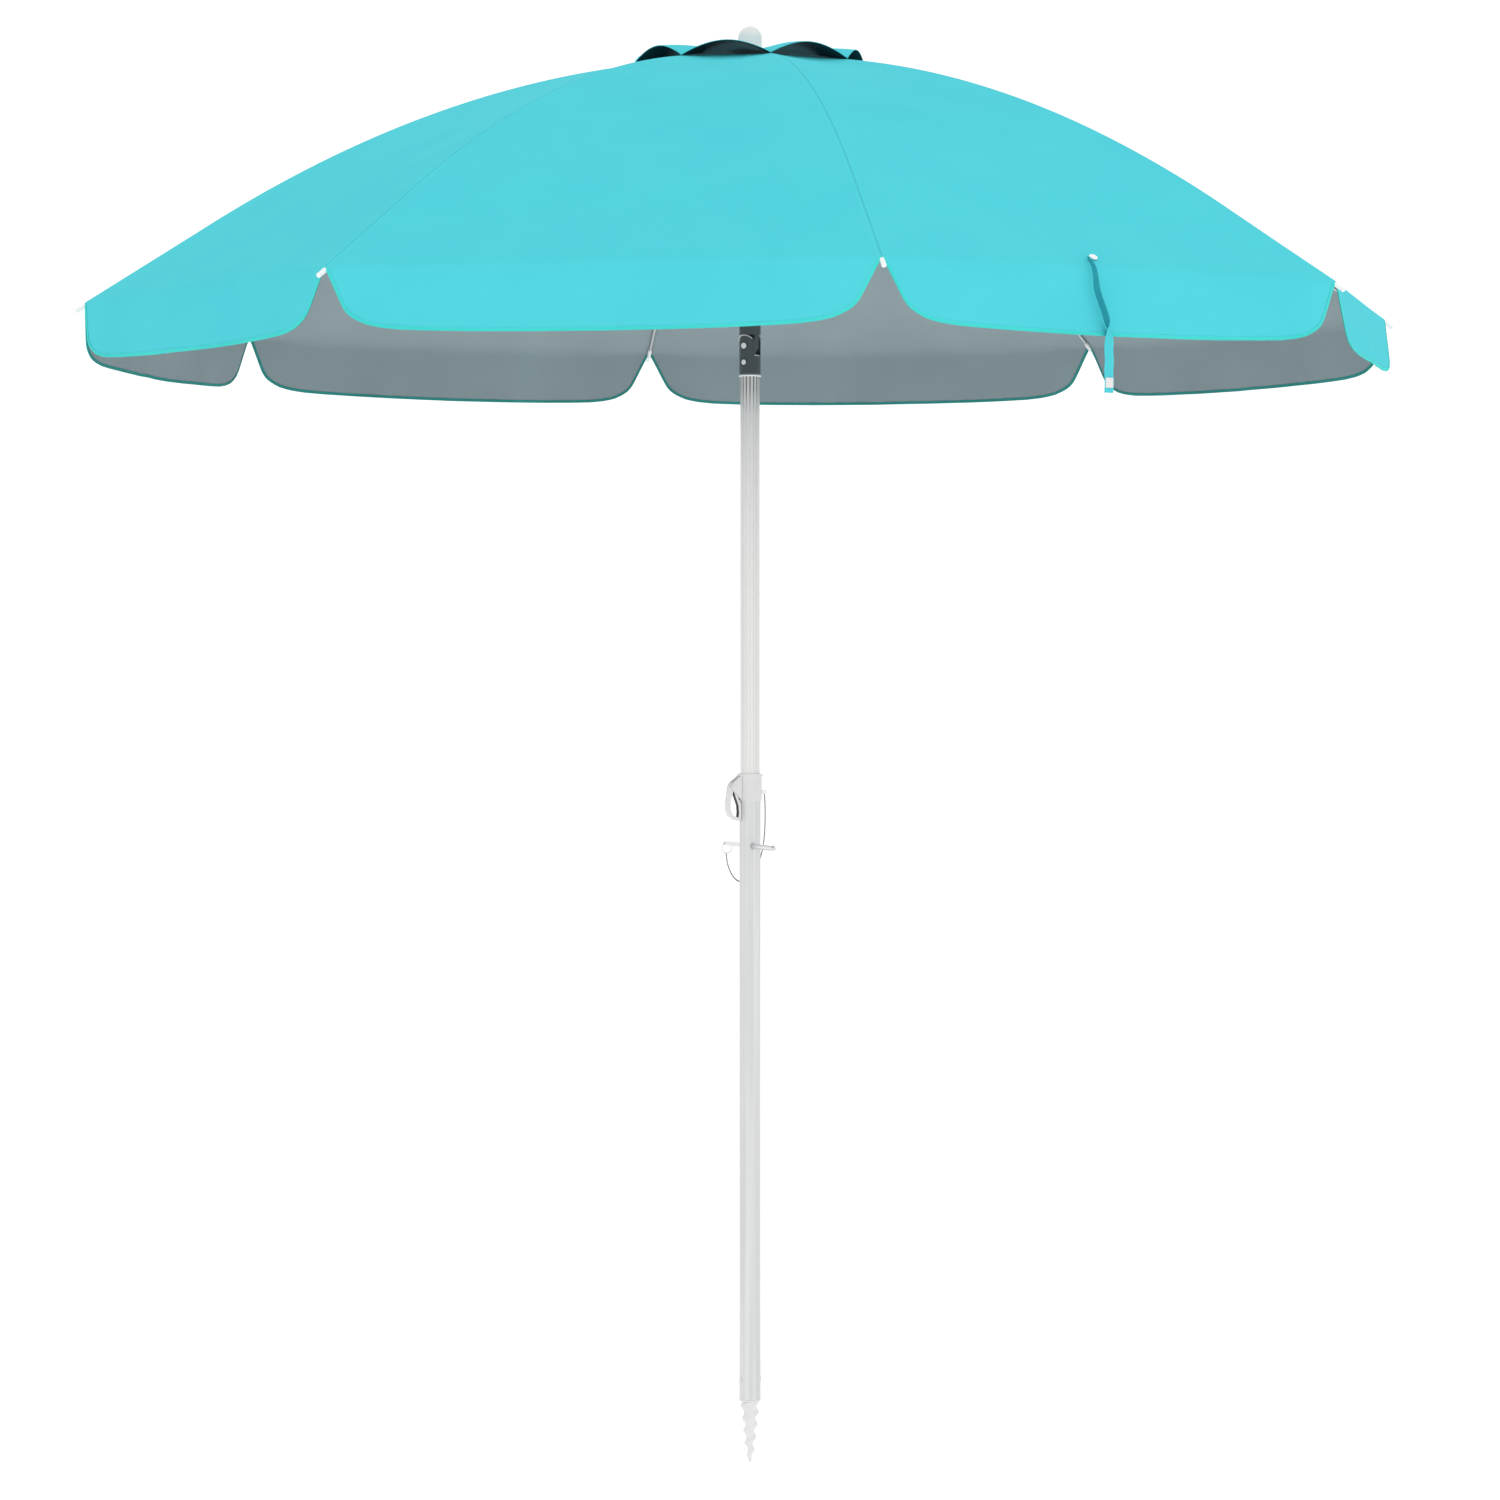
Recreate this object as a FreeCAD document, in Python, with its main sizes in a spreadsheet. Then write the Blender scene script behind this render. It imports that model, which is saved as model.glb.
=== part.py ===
import FreeCAD, Part

# Beach umbrella: a telescopic pole on a screw-in sand anchor, a push-button tilt joint and an
# eight-rib canopy that folds down along the pole.
#
# Frame: millimetres, +Z up, origin at the tip of the sand anchor, -Y the front, +X the right.
# An azimuth is counted in degrees from the front towards the right. A piece that points
# outwards is built along +X and then turned about the pole to its own azimuth.

import os
from math import acos, atan, atan2, cos, degrees, hypot, pi, radians, sin, sqrt, tan

import Sketcher

V = FreeCAD.Vector
Turn = FreeCAD.Rotation
Place = FreeCAD.Placement

RIBS = 8
SECTOR = 360.0 / RIBS
FIRST_RIB = 10.0
CLAMP_AZIMUTH = -67.0
TILT_AZIMUTH = -36.0
T_BAR_AZIMUTH = 18.0
RIVET_AZIMUTH = -63.0
STRAP_AZIMUTH = FIRST_RIB + SECTOR / 2 - 1.5

FLUTES = 16
THROUGH = 20.0  # how far a tool reaches each way to go right through the pole
OVER = 5.0  # how far a slot's tool runs past the piece that it cuts

HALF_TAN = tan(radians(SECTOR / 2))
HALF_COS = cos(radians(SECTOR / 2))

DRIVING = {
    # poles
    "lower_tube_radius": 16.0,
    "lower_tube_bore": 15.1,
    "lower_tube_foot": 96.0,
    "lower_tube_top": 1040.0,
    "fluted_tube_radius": 14.8,
    "fluted_tube_bore": 13.8,
    "flute_radius": 2.0,
    "flute_depth": 0.5,
    "upper_tube_foot": 943.0,
    "upper_tube_top": 1652.0,
    "head_tube_top": 2141.0,
    # sand anchor
    "anchor_tip_radius": 1.2,
    "anchor_top_radius": 12.5,
    "anchor_wobble": 1.4,
    "anchor_pitch": 19.0,
    "plug_top": 136.0,
    "rivet_height": 126.0,
    "rivet_radius": 2.4,
    "rivet_head_radius": 4.2,
    # clamp
    "collar_radius": 18.0,
    "collar_foot": 1007.0,
    "collar_top": 1047.7,
    "collar_lip": 19.6,
    "collar_lip_foot": 1044.7,
    "clamp_pivot_reach": 28.6,
    "clamp_pivot_height": 1029.0,
    "lever_width": 10.0,
    "ear_width": 3.4,
    "pin_radius": 2.0,
    "pin_play": 0.3,
    "lever_play": 0.6,
    "chain_eye_height": 1020.0,
    "chain_eye_radius": 2.6,
    "chain_eye_wire": 0.7,
    "chain_radius": 1.3,
    # cross bar
    "bar_height": 938.0,
    "bar_radius": 4.0,
    "bar_length": 240.0,
    "bar_play": 0.35,
    "split_ring_radius": 8.0,
    "split_ring_wire": 0.8,
    # tilt joint
    "tilt_radius": 16.2,
    "tilt_height": 1696.0,
    "slot_width": 12.0,
    "tongue_width": 11.4,
    "tongue_radius": 13.0,
    "spigot_radius": 13.7,
    "spigot_length": 30.0,
    "tilt_pin_radius": 3.0,
    "tilt_pin_head": 4.5,
    "tilt_pin_reach": 16.6,
    "head_block_foot": 1712.6,
    "head_block_top": 1750.0,
    "button_height": 1671.0,
    "button_radius": 4.0,
    # crown and finial
    "crown_pivot_reach": 24.0,
    "crown_pivot_height": 2124.8,
    "crown_radius": 31.0,
    "crown_slot_floor": 19.0,
    "crown_foot": 2116.0,
    "crown_top": 2133.0,
    "crown_hub_radius": 22.0,
    "crown_hub_top": 2141.4,
    "pivot_slot_width": 5.4,
    "finial_flange_radius": 26.5,
    "finial_flange_top": 2146.0,
    "finial_radius": 18.2,
    "finial_top": 2180.0,
    "dome_rise": 16.0,
    # runner
    "runner_bore": 17.6,
    "runner_sleeve_radius": 20.6,
    "runner_foot": 1792.0,
    "runner_ring_foot": 1817.0,
    "runner_top": 1833.0,
    "runner_radius": 29.0,
    "runner_pivot_reach": 22.0,
    "runner_pivot_height": 1825.0,
    # frame of ribs
    "rib_radius": 2.5,
    "rib_drop": 5.0,
    "rib_gap": 0.6,
    "rib_eye_radius": 3.2,
    "rib_eye_hole": 1.4,
    "rib_eye_width": 4.8,
    "joint_reach": 470.0,
    "lug_reach": 458.0,
    "lug_height": 2028.0,
    "lug_width": 8.0,
    "lug_throat": 5.2,
    "lug_pin_radius": 1.3,
    "stretcher_radius": 2.2,
    "stretcher_foot_eye": 2.6,
    "stretcher_head_eye": 3.6,
    "stretcher_head_hole": 1.6,
    "cap_radius": 3.5,
    "cap_length": 13.0,
    "cap_offset": 1.8,
    # canopy
    "fabric": 0.9,
    "canopy_gap": 0.15,
    "canopy_top": 2130.0,
    "canopy_bend": 0.000395,
    "vent_reach": 125.0,
    "straight_reach": 830.0,
    "straight_slope": 0.64,
    "rim_reach": 1000.0,
    "rim_height": 1749.0,
    "valance_depth": 91.0,
    "valance_flare": 9.0,
    # vent cap
    "vent_cap_reach": 178.0,
    "vent_cap_middle_reach": 166.0,
    "vent_cap_tack_height": 2118.2,
    "vent_cap_rise": 20.4,
    # tie strap
    "strap_width": 13.0,
    "strap_fabric": 1.0,
    "strap_stand_off": 0.5,
    "strap_reach": 905.0,
    "strap_end_height": 1583.0,
    "strap_button_radius": 6.0,
}

DOC = FreeCAD.newDocument("beach_umbrella")
SHEET = DOC.addObject("Spreadsheet::Sheet", "Sizes")
NODES = []


# ---------------------------------------------------------------- sheet and bindings


class Bound:
    """A number together with the sheet formula that gives it."""

    def __init__(self, number, text):
        self.number = float(number)
        self.text = text

    def __float__(self):
        return self.number

    def __add__(self, other):
        return joined(self, "+", other, self.number + float(other))

    def __radd__(self, other):
        return joined(other, "+", self, float(other) + self.number)

    def __sub__(self, other):
        return joined(self, "-", other, self.number - float(other))

    def __rsub__(self, other):
        return joined(other, "-", self, float(other) - self.number)

    def __mul__(self, other):
        return joined(self, "*", other, self.number * float(other))

    def __rmul__(self, other):
        return joined(other, "*", self, float(other) * self.number)

    def __truediv__(self, other):
        return joined(self, "/", other, self.number / float(other))

    def __neg__(self):
        return 0.0 - self


def formula(value):
    return value.text if isinstance(value, Bound) else f"({float(value):.9g})"


def joined(left, sign, right, number):
    return Bound(number, f"({formula(left)} {sign} {formula(right)})")


def put(alias, number):
    """Write one value to the next row of the sheet and name it."""
    put.row += 1
    SHEET.set(f"A{put.row}", alias)
    SHEET.set(f"B{put.row}", f"{number:.6f}")
    SHEET.setAlias(f"B{put.row}", alias)
    return Bound(round(number, 6), f"Sizes.{alias}")


put.row = 0


class Sizes:
    """Holds every sheet value under its alias."""


S = Sizes()
for alias, number in DRIVING.items():
    setattr(S, alias, put(alias, number))


def bind(piece, prop, value):
    """Give a property its value, with the sheet's formula where it has one."""
    if isinstance(value, Bound):
        piece.setExpression(prop, value.text)
    else:
        setattr(piece, prop, value)


def move(piece, at=(0, 0, 0), turn=None):
    """Place a primitive, with each coordinate that comes from the sheet bound to it."""
    piece.Placement = Place(V(*[float(c) for c in at]), turn or Turn())
    for axis, value in zip("xyz", at):
        if isinstance(value, Bound):
            piece.setExpression(f".Placement.Base.{axis}", value.text)


def azimuth_turn(azimuth):
    """The turn about the pole that takes +X to an azimuth."""
    return Turn(V(0, 0, 1), azimuth - 90.0)


def finish_node(piece, name, azimuth=None):
    """Name a sub-part, turn it to its azimuth and list it for export."""
    piece.Label = name
    if azimuth is not None:
        piece.Placement = Place(V(), azimuth_turn(azimuth))
    NODES.append(piece)


# ---------------------------------------------------------------- primitives and booleans

ALONG_X = Turn(V(0, 1, 0), 90)
ALONG_Y = Turn(V(1, 0, 0), -90)


def cylinder(radius, foot, top, reach=0.0):
    """An upright cylinder from one height to another."""
    piece = DOC.addObject("Part::Cylinder", "Cylinder")
    bind(piece, "Radius", radius)
    bind(piece, "Height", top - foot)
    move(piece, (reach, 0, foot))
    return piece


def cross_cylinder(radius, width, reach, height):
    """A cylinder across the pole's radius, centred on the X-Z plane."""
    piece = DOC.addObject("Part::Cylinder", "CrossCylinder")
    bind(piece, "Radius", radius)
    bind(piece, "Height", width)
    move(piece, (reach, -width / 2, height), ALONG_Y)
    return piece


def radial_cylinder(radius, start, end, height):
    """A cylinder along the pole's radius, from one reach to another."""
    piece = DOC.addObject("Part::Cylinder", "RadialCylinder")
    bind(piece, "Radius", radius)
    bind(piece, "Height", end - start)
    move(piece, (start, 0, height), ALONG_X)
    return piece


def box(start, end, width, foot, top):
    """A box from one reach to another, centred on the X-Z plane."""
    piece = DOC.addObject("Part::Box", "Box")
    bind(piece, "Length", end - start)
    bind(piece, "Width", width)
    bind(piece, "Height", top - foot)
    move(piece, (start, -width / 2, foot))
    return piece


def torus(radius, wire, at, turn=None):
    piece = DOC.addObject("Part::Torus", "Torus")
    bind(piece, "Radius1", radius)
    bind(piece, "Radius2", wire)
    move(piece, at, turn)
    return piece


def fused(*shapes):
    piece = DOC.addObject("Part::MultiFuse", "Fusion")
    piece.Shapes = list(shapes)
    return piece


def cut(base, *tools):
    piece = DOC.addObject("Part::Cut", "Cut")
    piece.Base = base
    piece.Tool = tools[0] if len(tools) == 1 else fused(*tools)
    return piece


def common(first, second):
    piece = DOC.addObject("Part::MultiCommon", "Common")
    piece.Shapes = [first, second]
    return piece


def turned(piece, azimuth):
    """A piece that was made along +X, turned about the pole to an azimuth."""
    holder = DOC.addObject("Part::Compound", "Turned")
    holder.Links = [piece]
    holder.Placement = Place(V(), azimuth_turn(azimuth))
    return holder


def at_each_rib(make_tool):
    """The same tool made at the azimuth of every rib."""
    return [turned(make_tool(), FIRST_RIB + SECTOR * number) for number in range(RIBS)]


# ---------------------------------------------------------------- bodies, sketches and features


def new_body(name):
    return DOC.addObject("PartDesign::Body", name)


def new_sketch(body, role, offset=None):
    """A sketch on one of the body's own origin planes, moved by an offset in that plane's frame."""
    sketch = body.newObject("Sketcher::SketchObject", "Sketch")
    plane = [p for p in body.Origin.OriginFeatures if p.Role == role][0]
    sketch.AttachmentSupport = [(plane, "")]
    sketch.MapMode = "FlatFace"
    if offset:
        sketch.AttachmentOffset = offset
    return sketch


def section_sketch(body, reach, height, slope):
    """A sketch square to a line that leaves (reach, height) in the X-Z plane, sloping down."""
    offset = Place(V(0, float(height), float(reach)), Turn(V(1, 0, 0), slope))
    return new_sketch(body, "YZ_Plane", offset)


def fix_point(sketch, geometry, end, point):
    """Hold one point of a sketch at its two distances from the origin."""
    for kind, value, axis in (("DistanceX", point[0], -2), ("DistanceY", point[1], -1)):
        if abs(float(value)) < 1e-9:
            sketch.addConstraint(Sketcher.Constraint("PointOnObject", geometry, end, axis))
            continue
        rule = Sketcher.Constraint(kind, -1, 1, geometry, end, float(value))
        index = sketch.addConstraint(rule)
        if isinstance(value, Bound):
            sketch.setExpression(f"Constraints[{index}]", value.text)


def add_circle(sketch, radius, at=(0, 0)):
    index = sketch.addGeometry(
        Part.Circle(V(float(at[0]), float(at[1]), 0), V(0, 0, 1), float(radius))
    )
    fix_point(sketch, index, 3, at)
    rule = sketch.addConstraint(Sketcher.Constraint("Radius", index, float(radius)))
    if isinstance(radius, Bound):
        sketch.setExpression(f"Constraints[{rule}]", radius.text)


def arc_between(start, end, radius, side):
    """The arc of a radius between two points, that bulges to the left (+1) or right (-1)."""
    a = V(float(start[0]), float(start[1]), 0)
    b = V(float(end[0]), float(end[1]), 0)
    half = (b - a).Length / 2
    rise = radius - sqrt(radius * radius - half * half)
    across = V(-(b - a).y, (b - a).x, 0).normalize()
    return Part.Arc(a, (a + b) * 0.5 + across * (rise * side), b)


def add_path(sketch, points, arcs=None, closed=False, on_axis=()):
    """Lines through points. arcs gives the (radius, side) of each run that is an arc, by number.

    An arc listed in on_axis has its centre held on the sketch's vertical axis.
    """
    arcs = arcs or {}
    runs = len(points) if closed else len(points) - 1
    first = sketch.GeometryCount
    for run in range(runs):
        start, end = points[run], points[(run + 1) % len(points)]
        if run in arcs:
            radius, side = arcs[run]
            edge = arc_between(start, end, radius, side)
            # a sketch keeps its arcs counter-clockwise, so one that turns right runs backwards
            starts, ends = (2, 1) if side > 0 else (1, 2)
        else:
            edge = Part.LineSegment(
                V(float(start[0]), float(start[1]), 0), V(float(end[0]), float(end[1]), 0)
            )
            starts, ends = 1, 2
        index = sketch.addGeometry(edge)
        if run in on_axis:
            sketch.addConstraint(Sketcher.Constraint("PointOnObject", index, 3, -2))
        elif run in arcs:
            sketch.addConstraint(Sketcher.Constraint("Radius", index, radius))
        if run == 0:
            fix_point(sketch, index, starts, start)
            first_end = starts
        else:
            sketch.addConstraint(
                Sketcher.Constraint("Coincident", index - 1, last_end, index, starts)
            )
        if run == runs - 1 and closed:
            sketch.addConstraint(
                Sketcher.Constraint("Coincident", index, ends, first, first_end)
            )
        else:
            fix_point(sketch, index, ends, end)
        last_end = ends


def pad(body, sketch, length, symmetric=False):
    feature = body.newObject("PartDesign::Pad", "Pad")
    feature.Profile = sketch
    bind(feature, "Length", length)
    if symmetric:
        feature.SideType = "Symmetric"
    return feature


def pocket(body, sketch, length=None, symmetric=False, reversed_way=False):
    feature = body.newObject("PartDesign::Pocket", "Pocket")
    feature.Profile = sketch
    if length is None:
        feature.Type = "ThroughAll"
    else:
        bind(feature, "Length", length)
    if symmetric:
        feature.SideType = "Symmetric"
    feature.Reversed = reversed_way
    return feature


def repeated(body, feature, sketch, count):
    """The feature repeated about the normal of its sketch."""
    pattern = body.newObject("PartDesign::PolarPattern", "PolarPattern")
    pattern.Originals = [feature]
    pattern.Axis = (sketch, ["N_Axis"])
    pattern.Angle = 360
    pattern.Occurrences = count
    body.Tip = pattern
    return pattern


def mirrored(body, feature):
    """The feature repeated on the other side of the X-Z plane."""
    mirror = body.newObject("PartDesign::Mirrored", "Mirrored")
    plane = [p for p in body.Origin.OriginFeatures if p.Role == "XZ_Plane"][0]
    mirror.Originals = [feature]
    mirror.MirrorPlane = (plane, [""])
    body.Tip = mirror
    return mirror


# ---------------------------------------------------------------- pole, anchor and clamp


def make_fluted_tube(name, foot, top):
    """A drawn tube with shallow flutes along its whole length."""
    body = new_body(name)
    ring = new_sketch(body, "XY_Plane", Place(V(0, 0, float(foot)), Turn()))
    ring.setExpression(".AttachmentOffset.Base.z", formula(foot))
    add_circle(ring, S.fluted_tube_radius)
    add_circle(ring, S.fluted_tube_bore)
    pad(body, ring, top - foot)
    flute = new_sketch(body, "XY_Plane", Place(V(0, 0, float(foot)), Turn()))
    flute.setExpression(".AttachmentOffset.Base.z", formula(foot))
    add_circle(flute, S.flute_radius, (S.fluted_tube_radius + S.flute_radius - S.flute_depth, 0))
    groove = pocket(body, flute, reversed_way=True)
    repeated(body, groove, flute, FLUTES)
    finish_node(body, name)


def make_lower_pole():
    tube = cut(
        cylinder(S.lower_tube_radius, S.lower_tube_foot, S.lower_tube_top),
        cylinder(S.lower_tube_bore, S.lower_tube_foot - 1, S.lower_tube_top + 1),
    )
    bar_hole = radial_cylinder(S.bar_radius + S.bar_play, -THROUGH, THROUGH, S.bar_height)
    rivet_hole = radial_cylinder(S.rivet_radius, -THROUGH, THROUGH, S.rivet_height)
    tube = cut(tube, turned(bar_hole, T_BAR_AZIMUTH), turned(rivet_hole, RIVET_AZIMUTH))
    finish_node(tube, "lower_pole")


def make_sand_anchor():
    """A tapered auger: round sections that circle the axis once in each pitch, then a plug."""
    steps = 8
    sections = []
    rise = S.anchor_pitch / steps
    count = int(float((S.lower_tube_foot - 4.0) / rise))
    for step in range(count + 1):
        height = rise * step
        share = float(height) / float(S.lower_tube_foot)
        radius = S.anchor_tip_radius + (S.anchor_top_radius - S.anchor_tip_radius) * share
        angle = radians(360.0 / steps * step)
        wobble = S.anchor_wobble * min(1.0, step / steps)
        ring = DOC.addObject("Part::Circle", "Turn")
        bind(ring, "Radius", radius)
        move(ring, (wobble * cos(angle), wobble * sin(angle), height))
        sections.append(ring)
    auger = DOC.addObject("Part::Loft", "Auger")
    auger.Sections = sections
    auger.Solid = True
    auger.Ruled = True
    neck = cylinder(S.lower_tube_bore - 0.9, rise * count - 0.5, S.lower_tube_foot - 2.5)
    flange = cylinder(S.lower_tube_radius - 0.1, S.lower_tube_foot - 3.0, S.lower_tube_foot)
    plug = cylinder(S.lower_tube_bore - 0.05, S.lower_tube_foot - 0.5, S.plug_top)
    rivet_hole = radial_cylinder(S.rivet_radius, -THROUGH, THROUGH, S.rivet_height)
    anchor = cut(fused(auger, neck, flange, plug), turned(rivet_hole, RIVET_AZIMUTH))
    finish_node(anchor, "sand_anchor")


def make_anchor_rivet():
    """One rivet right through the tube and the anchor's plug, with a low head at each end."""
    reach = S.lower_tube_radius + 0.9
    shank = radial_cylinder(S.rivet_radius, -reach, reach, S.rivet_height)
    heads = [
        radial_cylinder(S.rivet_head_radius, start, start + 1.4, S.rivet_height)
        for start in (-reach, reach - 1.4)
    ]
    tube = cylinder(S.lower_tube_radius, S.rivet_height - 10, S.rivet_height + 10)
    caps = cut(fused(*heads), tube)
    finish_node(fused(shank, caps), "anchor_rivet", RIVET_AZIMUTH)


def make_clamp_collar():
    """A split collar with a stop lip inside its top and two ears for the lever's pin."""
    ear_outline = [
        (S.lower_tube_radius + 0.5, S.collar_top - 2.0),
        (S.clamp_pivot_reach + 1.5, S.clamp_pivot_height + 6.0),
        (S.clamp_pivot_reach + 5.0, S.clamp_pivot_height + 1.0),
        (S.clamp_pivot_reach + 3.5, S.clamp_pivot_height - 4.5),
        (S.lower_tube_radius + 0.5, S.collar_foot + 1.0),
    ]
    body = new_body("CollarEars")
    side = new_sketch(body, "XZ_Plane")
    add_path(side, ear_outline, closed=True)
    pad(body, side, S.lever_width + S.lever_play + S.ear_width * 2, symmetric=True)
    slot = box(
        S.collar_radius,
        S.collar_radius + 30,
        S.lever_width + S.lever_play,
        S.collar_foot - OVER,
        S.collar_top + OVER,
    )
    ears = cut(body, slot)
    shell = fused(
        cylinder(S.collar_radius, S.collar_foot, S.collar_top),
        cylinder(S.collar_lip, S.collar_lip_foot, S.collar_top),
        ears,
    )
    shoulder = S.lower_tube_top + 0.3
    finish_node(
        cut(
            shell,
            cylinder(S.lower_tube_radius + 0.1, S.collar_foot - 1, shoulder),
            cylinder(S.lower_tube_bore, S.collar_foot, S.collar_top + 1),
            box(0.0, S.collar_radius + 1, 2.0, S.collar_foot - 1, S.collar_top - 3),
            cross_cylinder(S.pin_radius + 0.02, 40.0, S.clamp_pivot_reach, S.clamp_pivot_height),
        ),
        "clamp_collar",
        CLAMP_AZIMUTH,
    )


def make_collar_hardware():
    """The lever's hinge pin, and the eye on the collar's right side that holds the chain."""
    pin_width = S.lever_width + S.lever_play + S.ear_width * 2 + 1.6
    pin = cross_cylinder(S.pin_radius, pin_width, S.clamp_pivot_reach, S.clamp_pivot_height)
    centre = S.collar_radius + S.chain_eye_radius + S.chain_eye_wire + 0.1
    eye = torus(
        S.chain_eye_radius,
        S.chain_eye_wire,
        (centre, 0, S.chain_eye_height),
        Turn(V(1, 0, 0), 90),
    )
    stem = radial_cylinder(
        S.chain_eye_wire + 0.2, S.collar_radius, S.collar_radius + 1.2, S.chain_eye_height
    )
    group = DOC.addObject("Part::Compound", "Hardware")
    group.Links = [turned(pin, CLAMP_AZIMUTH), fused(eye, stem)]
    finish_node(group, "collar_hardware")


def make_clamp_lever():
    """A closed loop that hangs from its pin, with one leg against the tube and a teardrop hole."""
    reach, height = S.clamp_pivot_reach, S.clamp_pivot_height
    rim = [
        (reach - 5.0, height + 1.5),
        (reach - 1.0, height + 6.2),
        (reach + 4.0, height + 5.0),
        (reach + 7.4, height - 1.0),
        (reach + 10.6, height - 23.0),
        (reach + 10.4, height - 37.0),
        (reach + 7.0, height - 45.0),
        (reach - 1.0, height - 51.5),
        (reach - 11.4, height - 53.0),
        (reach - 12.1, height - 50.0),
        (reach - 12.1, height - 25.0),
        (reach - 8.0, height - 23.4),
    ]
    hole = [
        (reach + 0.6, height - 7.0),
        (reach + 5.4, height - 24.0),
        (reach + 5.2, height - 36.0),
        (reach + 1.0, height - 44.5),
        (reach - 7.6, height - 48.0),
        (reach - 8.4, height - 40.0),
        (reach - 7.6, height - 29.0),
    ]
    body = new_body("clamp_lever")
    side = new_sketch(body, "XZ_Plane")
    add_path(side, rim, closed=True)
    add_path(side, hole, closed=True)
    add_circle(side, S.pin_radius + S.pin_play, (reach, height))
    pad(body, side, S.lever_width, symmetric=True)
    finish_node(body, "clamp_lever", CLAMP_AZIMUTH)


def make_t_bar():
    """The loose cross bar through the tube, with a round nose and an eye in its far end."""
    half = S.bar_length / 2
    rod = radial_cylinder(S.bar_radius, -half, half - 6, S.bar_height)
    nose = DOC.addObject("Part::Cone", "Nose")
    bind(nose, "Radius1", S.bar_radius)
    bind(nose, "Radius2", S.bar_radius * 0.55)
    nose.Height = 6
    move(nose, (half - 6, 0, S.bar_height), ALONG_X)
    eye = cross_cylinder(1.6, 20.0, 4.5 - half, S.bar_height)
    finish_node(cut(fused(rod, nose), eye), "t_bar", T_BAR_AZIMUTH)


def make_split_ring():
    """The ring through the bar's eye; it hangs, and the chain hooks on its lowest point."""
    centre = (4.5 - S.bar_length / 2, 0, S.bar_height - S.split_ring_radius + 0.7)
    ring = torus(S.split_ring_radius, S.split_ring_wire, centre, ALONG_X)
    finish_node(turned(ring, T_BAR_AZIMUTH), "split_ring")


CHAIN_ROUTE = [
    (22, 2, 1017),
    (22.8, 3, 1003),
    (23.2, 6, 986),
    (22.8, 11, 967),
    (21.6, 18, 948),
    (18.8, 27, 930),
    (14, 38, 912),
    (7.5, 50, 897),
    (-0.5, 62, 886.5),
    (-9.5, 75, 880),
    (-18.5, 88, 880),
    (-26.5, 99, 887),
    (-32.5, 107, 898.5),
    (-36, 111.5, 911.5),
    (-36.6, 112.5, 921.6),
]


def rounded_wire(route):
    """Straight runs through a route's points, joined by tangent arcs, and each arc's radius."""
    points = [V(*p) for p in route]
    edges, radii, last = [], [], points[0]
    for before, corner, after in zip(points, points[1:], points[2:]):
        back, ahead = (before - corner), (after - corner)
        trim = 0.45 * min(back.Length, ahead.Length)
        back.normalize()
        ahead.normalize()
        opening = acos(max(-1.0, min(1.0, back.dot(ahead))))
        turn = pi - opening
        start, end = corner + back * trim, corner + ahead * trim
        radius = trim / tan(turn / 2)
        middle_way = (back + ahead).normalize()
        centre_distance = radius / cos(turn / 2)
        middle = corner + middle_way * (centre_distance - radius)
        edges.append(Part.LineSegment(last, start).toShape())
        edges.append(Part.Arc(start, middle, end).toShape())
        radii.append(radius)
        last = end
    edges.append(Part.LineSegment(last, points[-1]).toShape())
    return Part.Wire(edges), radii


def make_chain():
    """The ball chain from the collar's eye to the split ring, as a plain tube of its length."""
    wire, radii = rounded_wire(CHAIN_ROUTE)
    start, after = V(*CHAIN_ROUTE[0]), V(*CHAIN_ROUTE[1])
    radius = float(S.chain_radius)
    section = Part.Wire(Part.Circle(start, after - start, radius).toShape())
    tube = wire.makePipeShell([section], True, True)
    piece = DOC.addObject("Part::Feature", "Chain")
    piece.Shape = tube
    finish_node(piece, "chain")
    full = pi * radius * radius * wire.Length
    print(f"chain length {wire.Length:.1f}, smallest arc {min(radii):.1f}")
    print(f"chain volume {tube.Volume:.1f} against {full:.1f}")


# ---------------------------------------------------------------- tilt joint


def make_tilt_base():
    """The fork on the upper pole: two rounded cheeks over a solid body with the button's bore."""
    cheek_top = S.tilt_height + S.tilt_radius
    body = cylinder(S.tilt_radius, S.upper_tube_top, S.tilt_height)
    cheeks = common(
        cylinder(S.tilt_radius, S.tilt_height - 1, cheek_top),
        radial_cylinder(S.tilt_radius, -THROUGH, THROUGH, S.tilt_height),
    )
    spigot = cylinder(S.spigot_radius, S.upper_tube_top - S.spigot_length, S.upper_tube_top + 1)
    slot_floor = S.tilt_height - S.tongue_radius - 0.6
    slot = DOC.addObject("Part::Box", "Slot")
    bind(slot, "Length", S.slot_width)
    slot.Width = 60
    bind(slot, "Height", cheek_top + 1 - slot_floor)
    move(slot, (-S.slot_width / 2, -30.0, slot_floor))
    recesses = [
        radial_cylinder(S.tilt_pin_head + 0.3, 15.0, 20.0, S.tilt_height),
        radial_cylinder(S.tilt_pin_head + 0.3, -20.0, -15.0, S.tilt_height),
    ]
    piece = cut(
        fused(body, cheeks, spigot),
        slot,
        radial_cylinder(S.tilt_pin_radius + 0.3, -THROUGH, THROUGH, S.tilt_height),
        *recesses,
        radial_cylinder(S.button_radius + 0.3, 3.0, 20.0, S.button_height),
    )
    finish_node(piece, "tilt_base", TILT_AZIMUTH)


def make_tilt_button():
    reach = S.tilt_pin_reach
    crown = radial_cylinder(S.button_radius, 7.5, reach, S.button_height)
    finish_node(turned(crown, TILT_AZIMUTH), "tilt_button")


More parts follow.
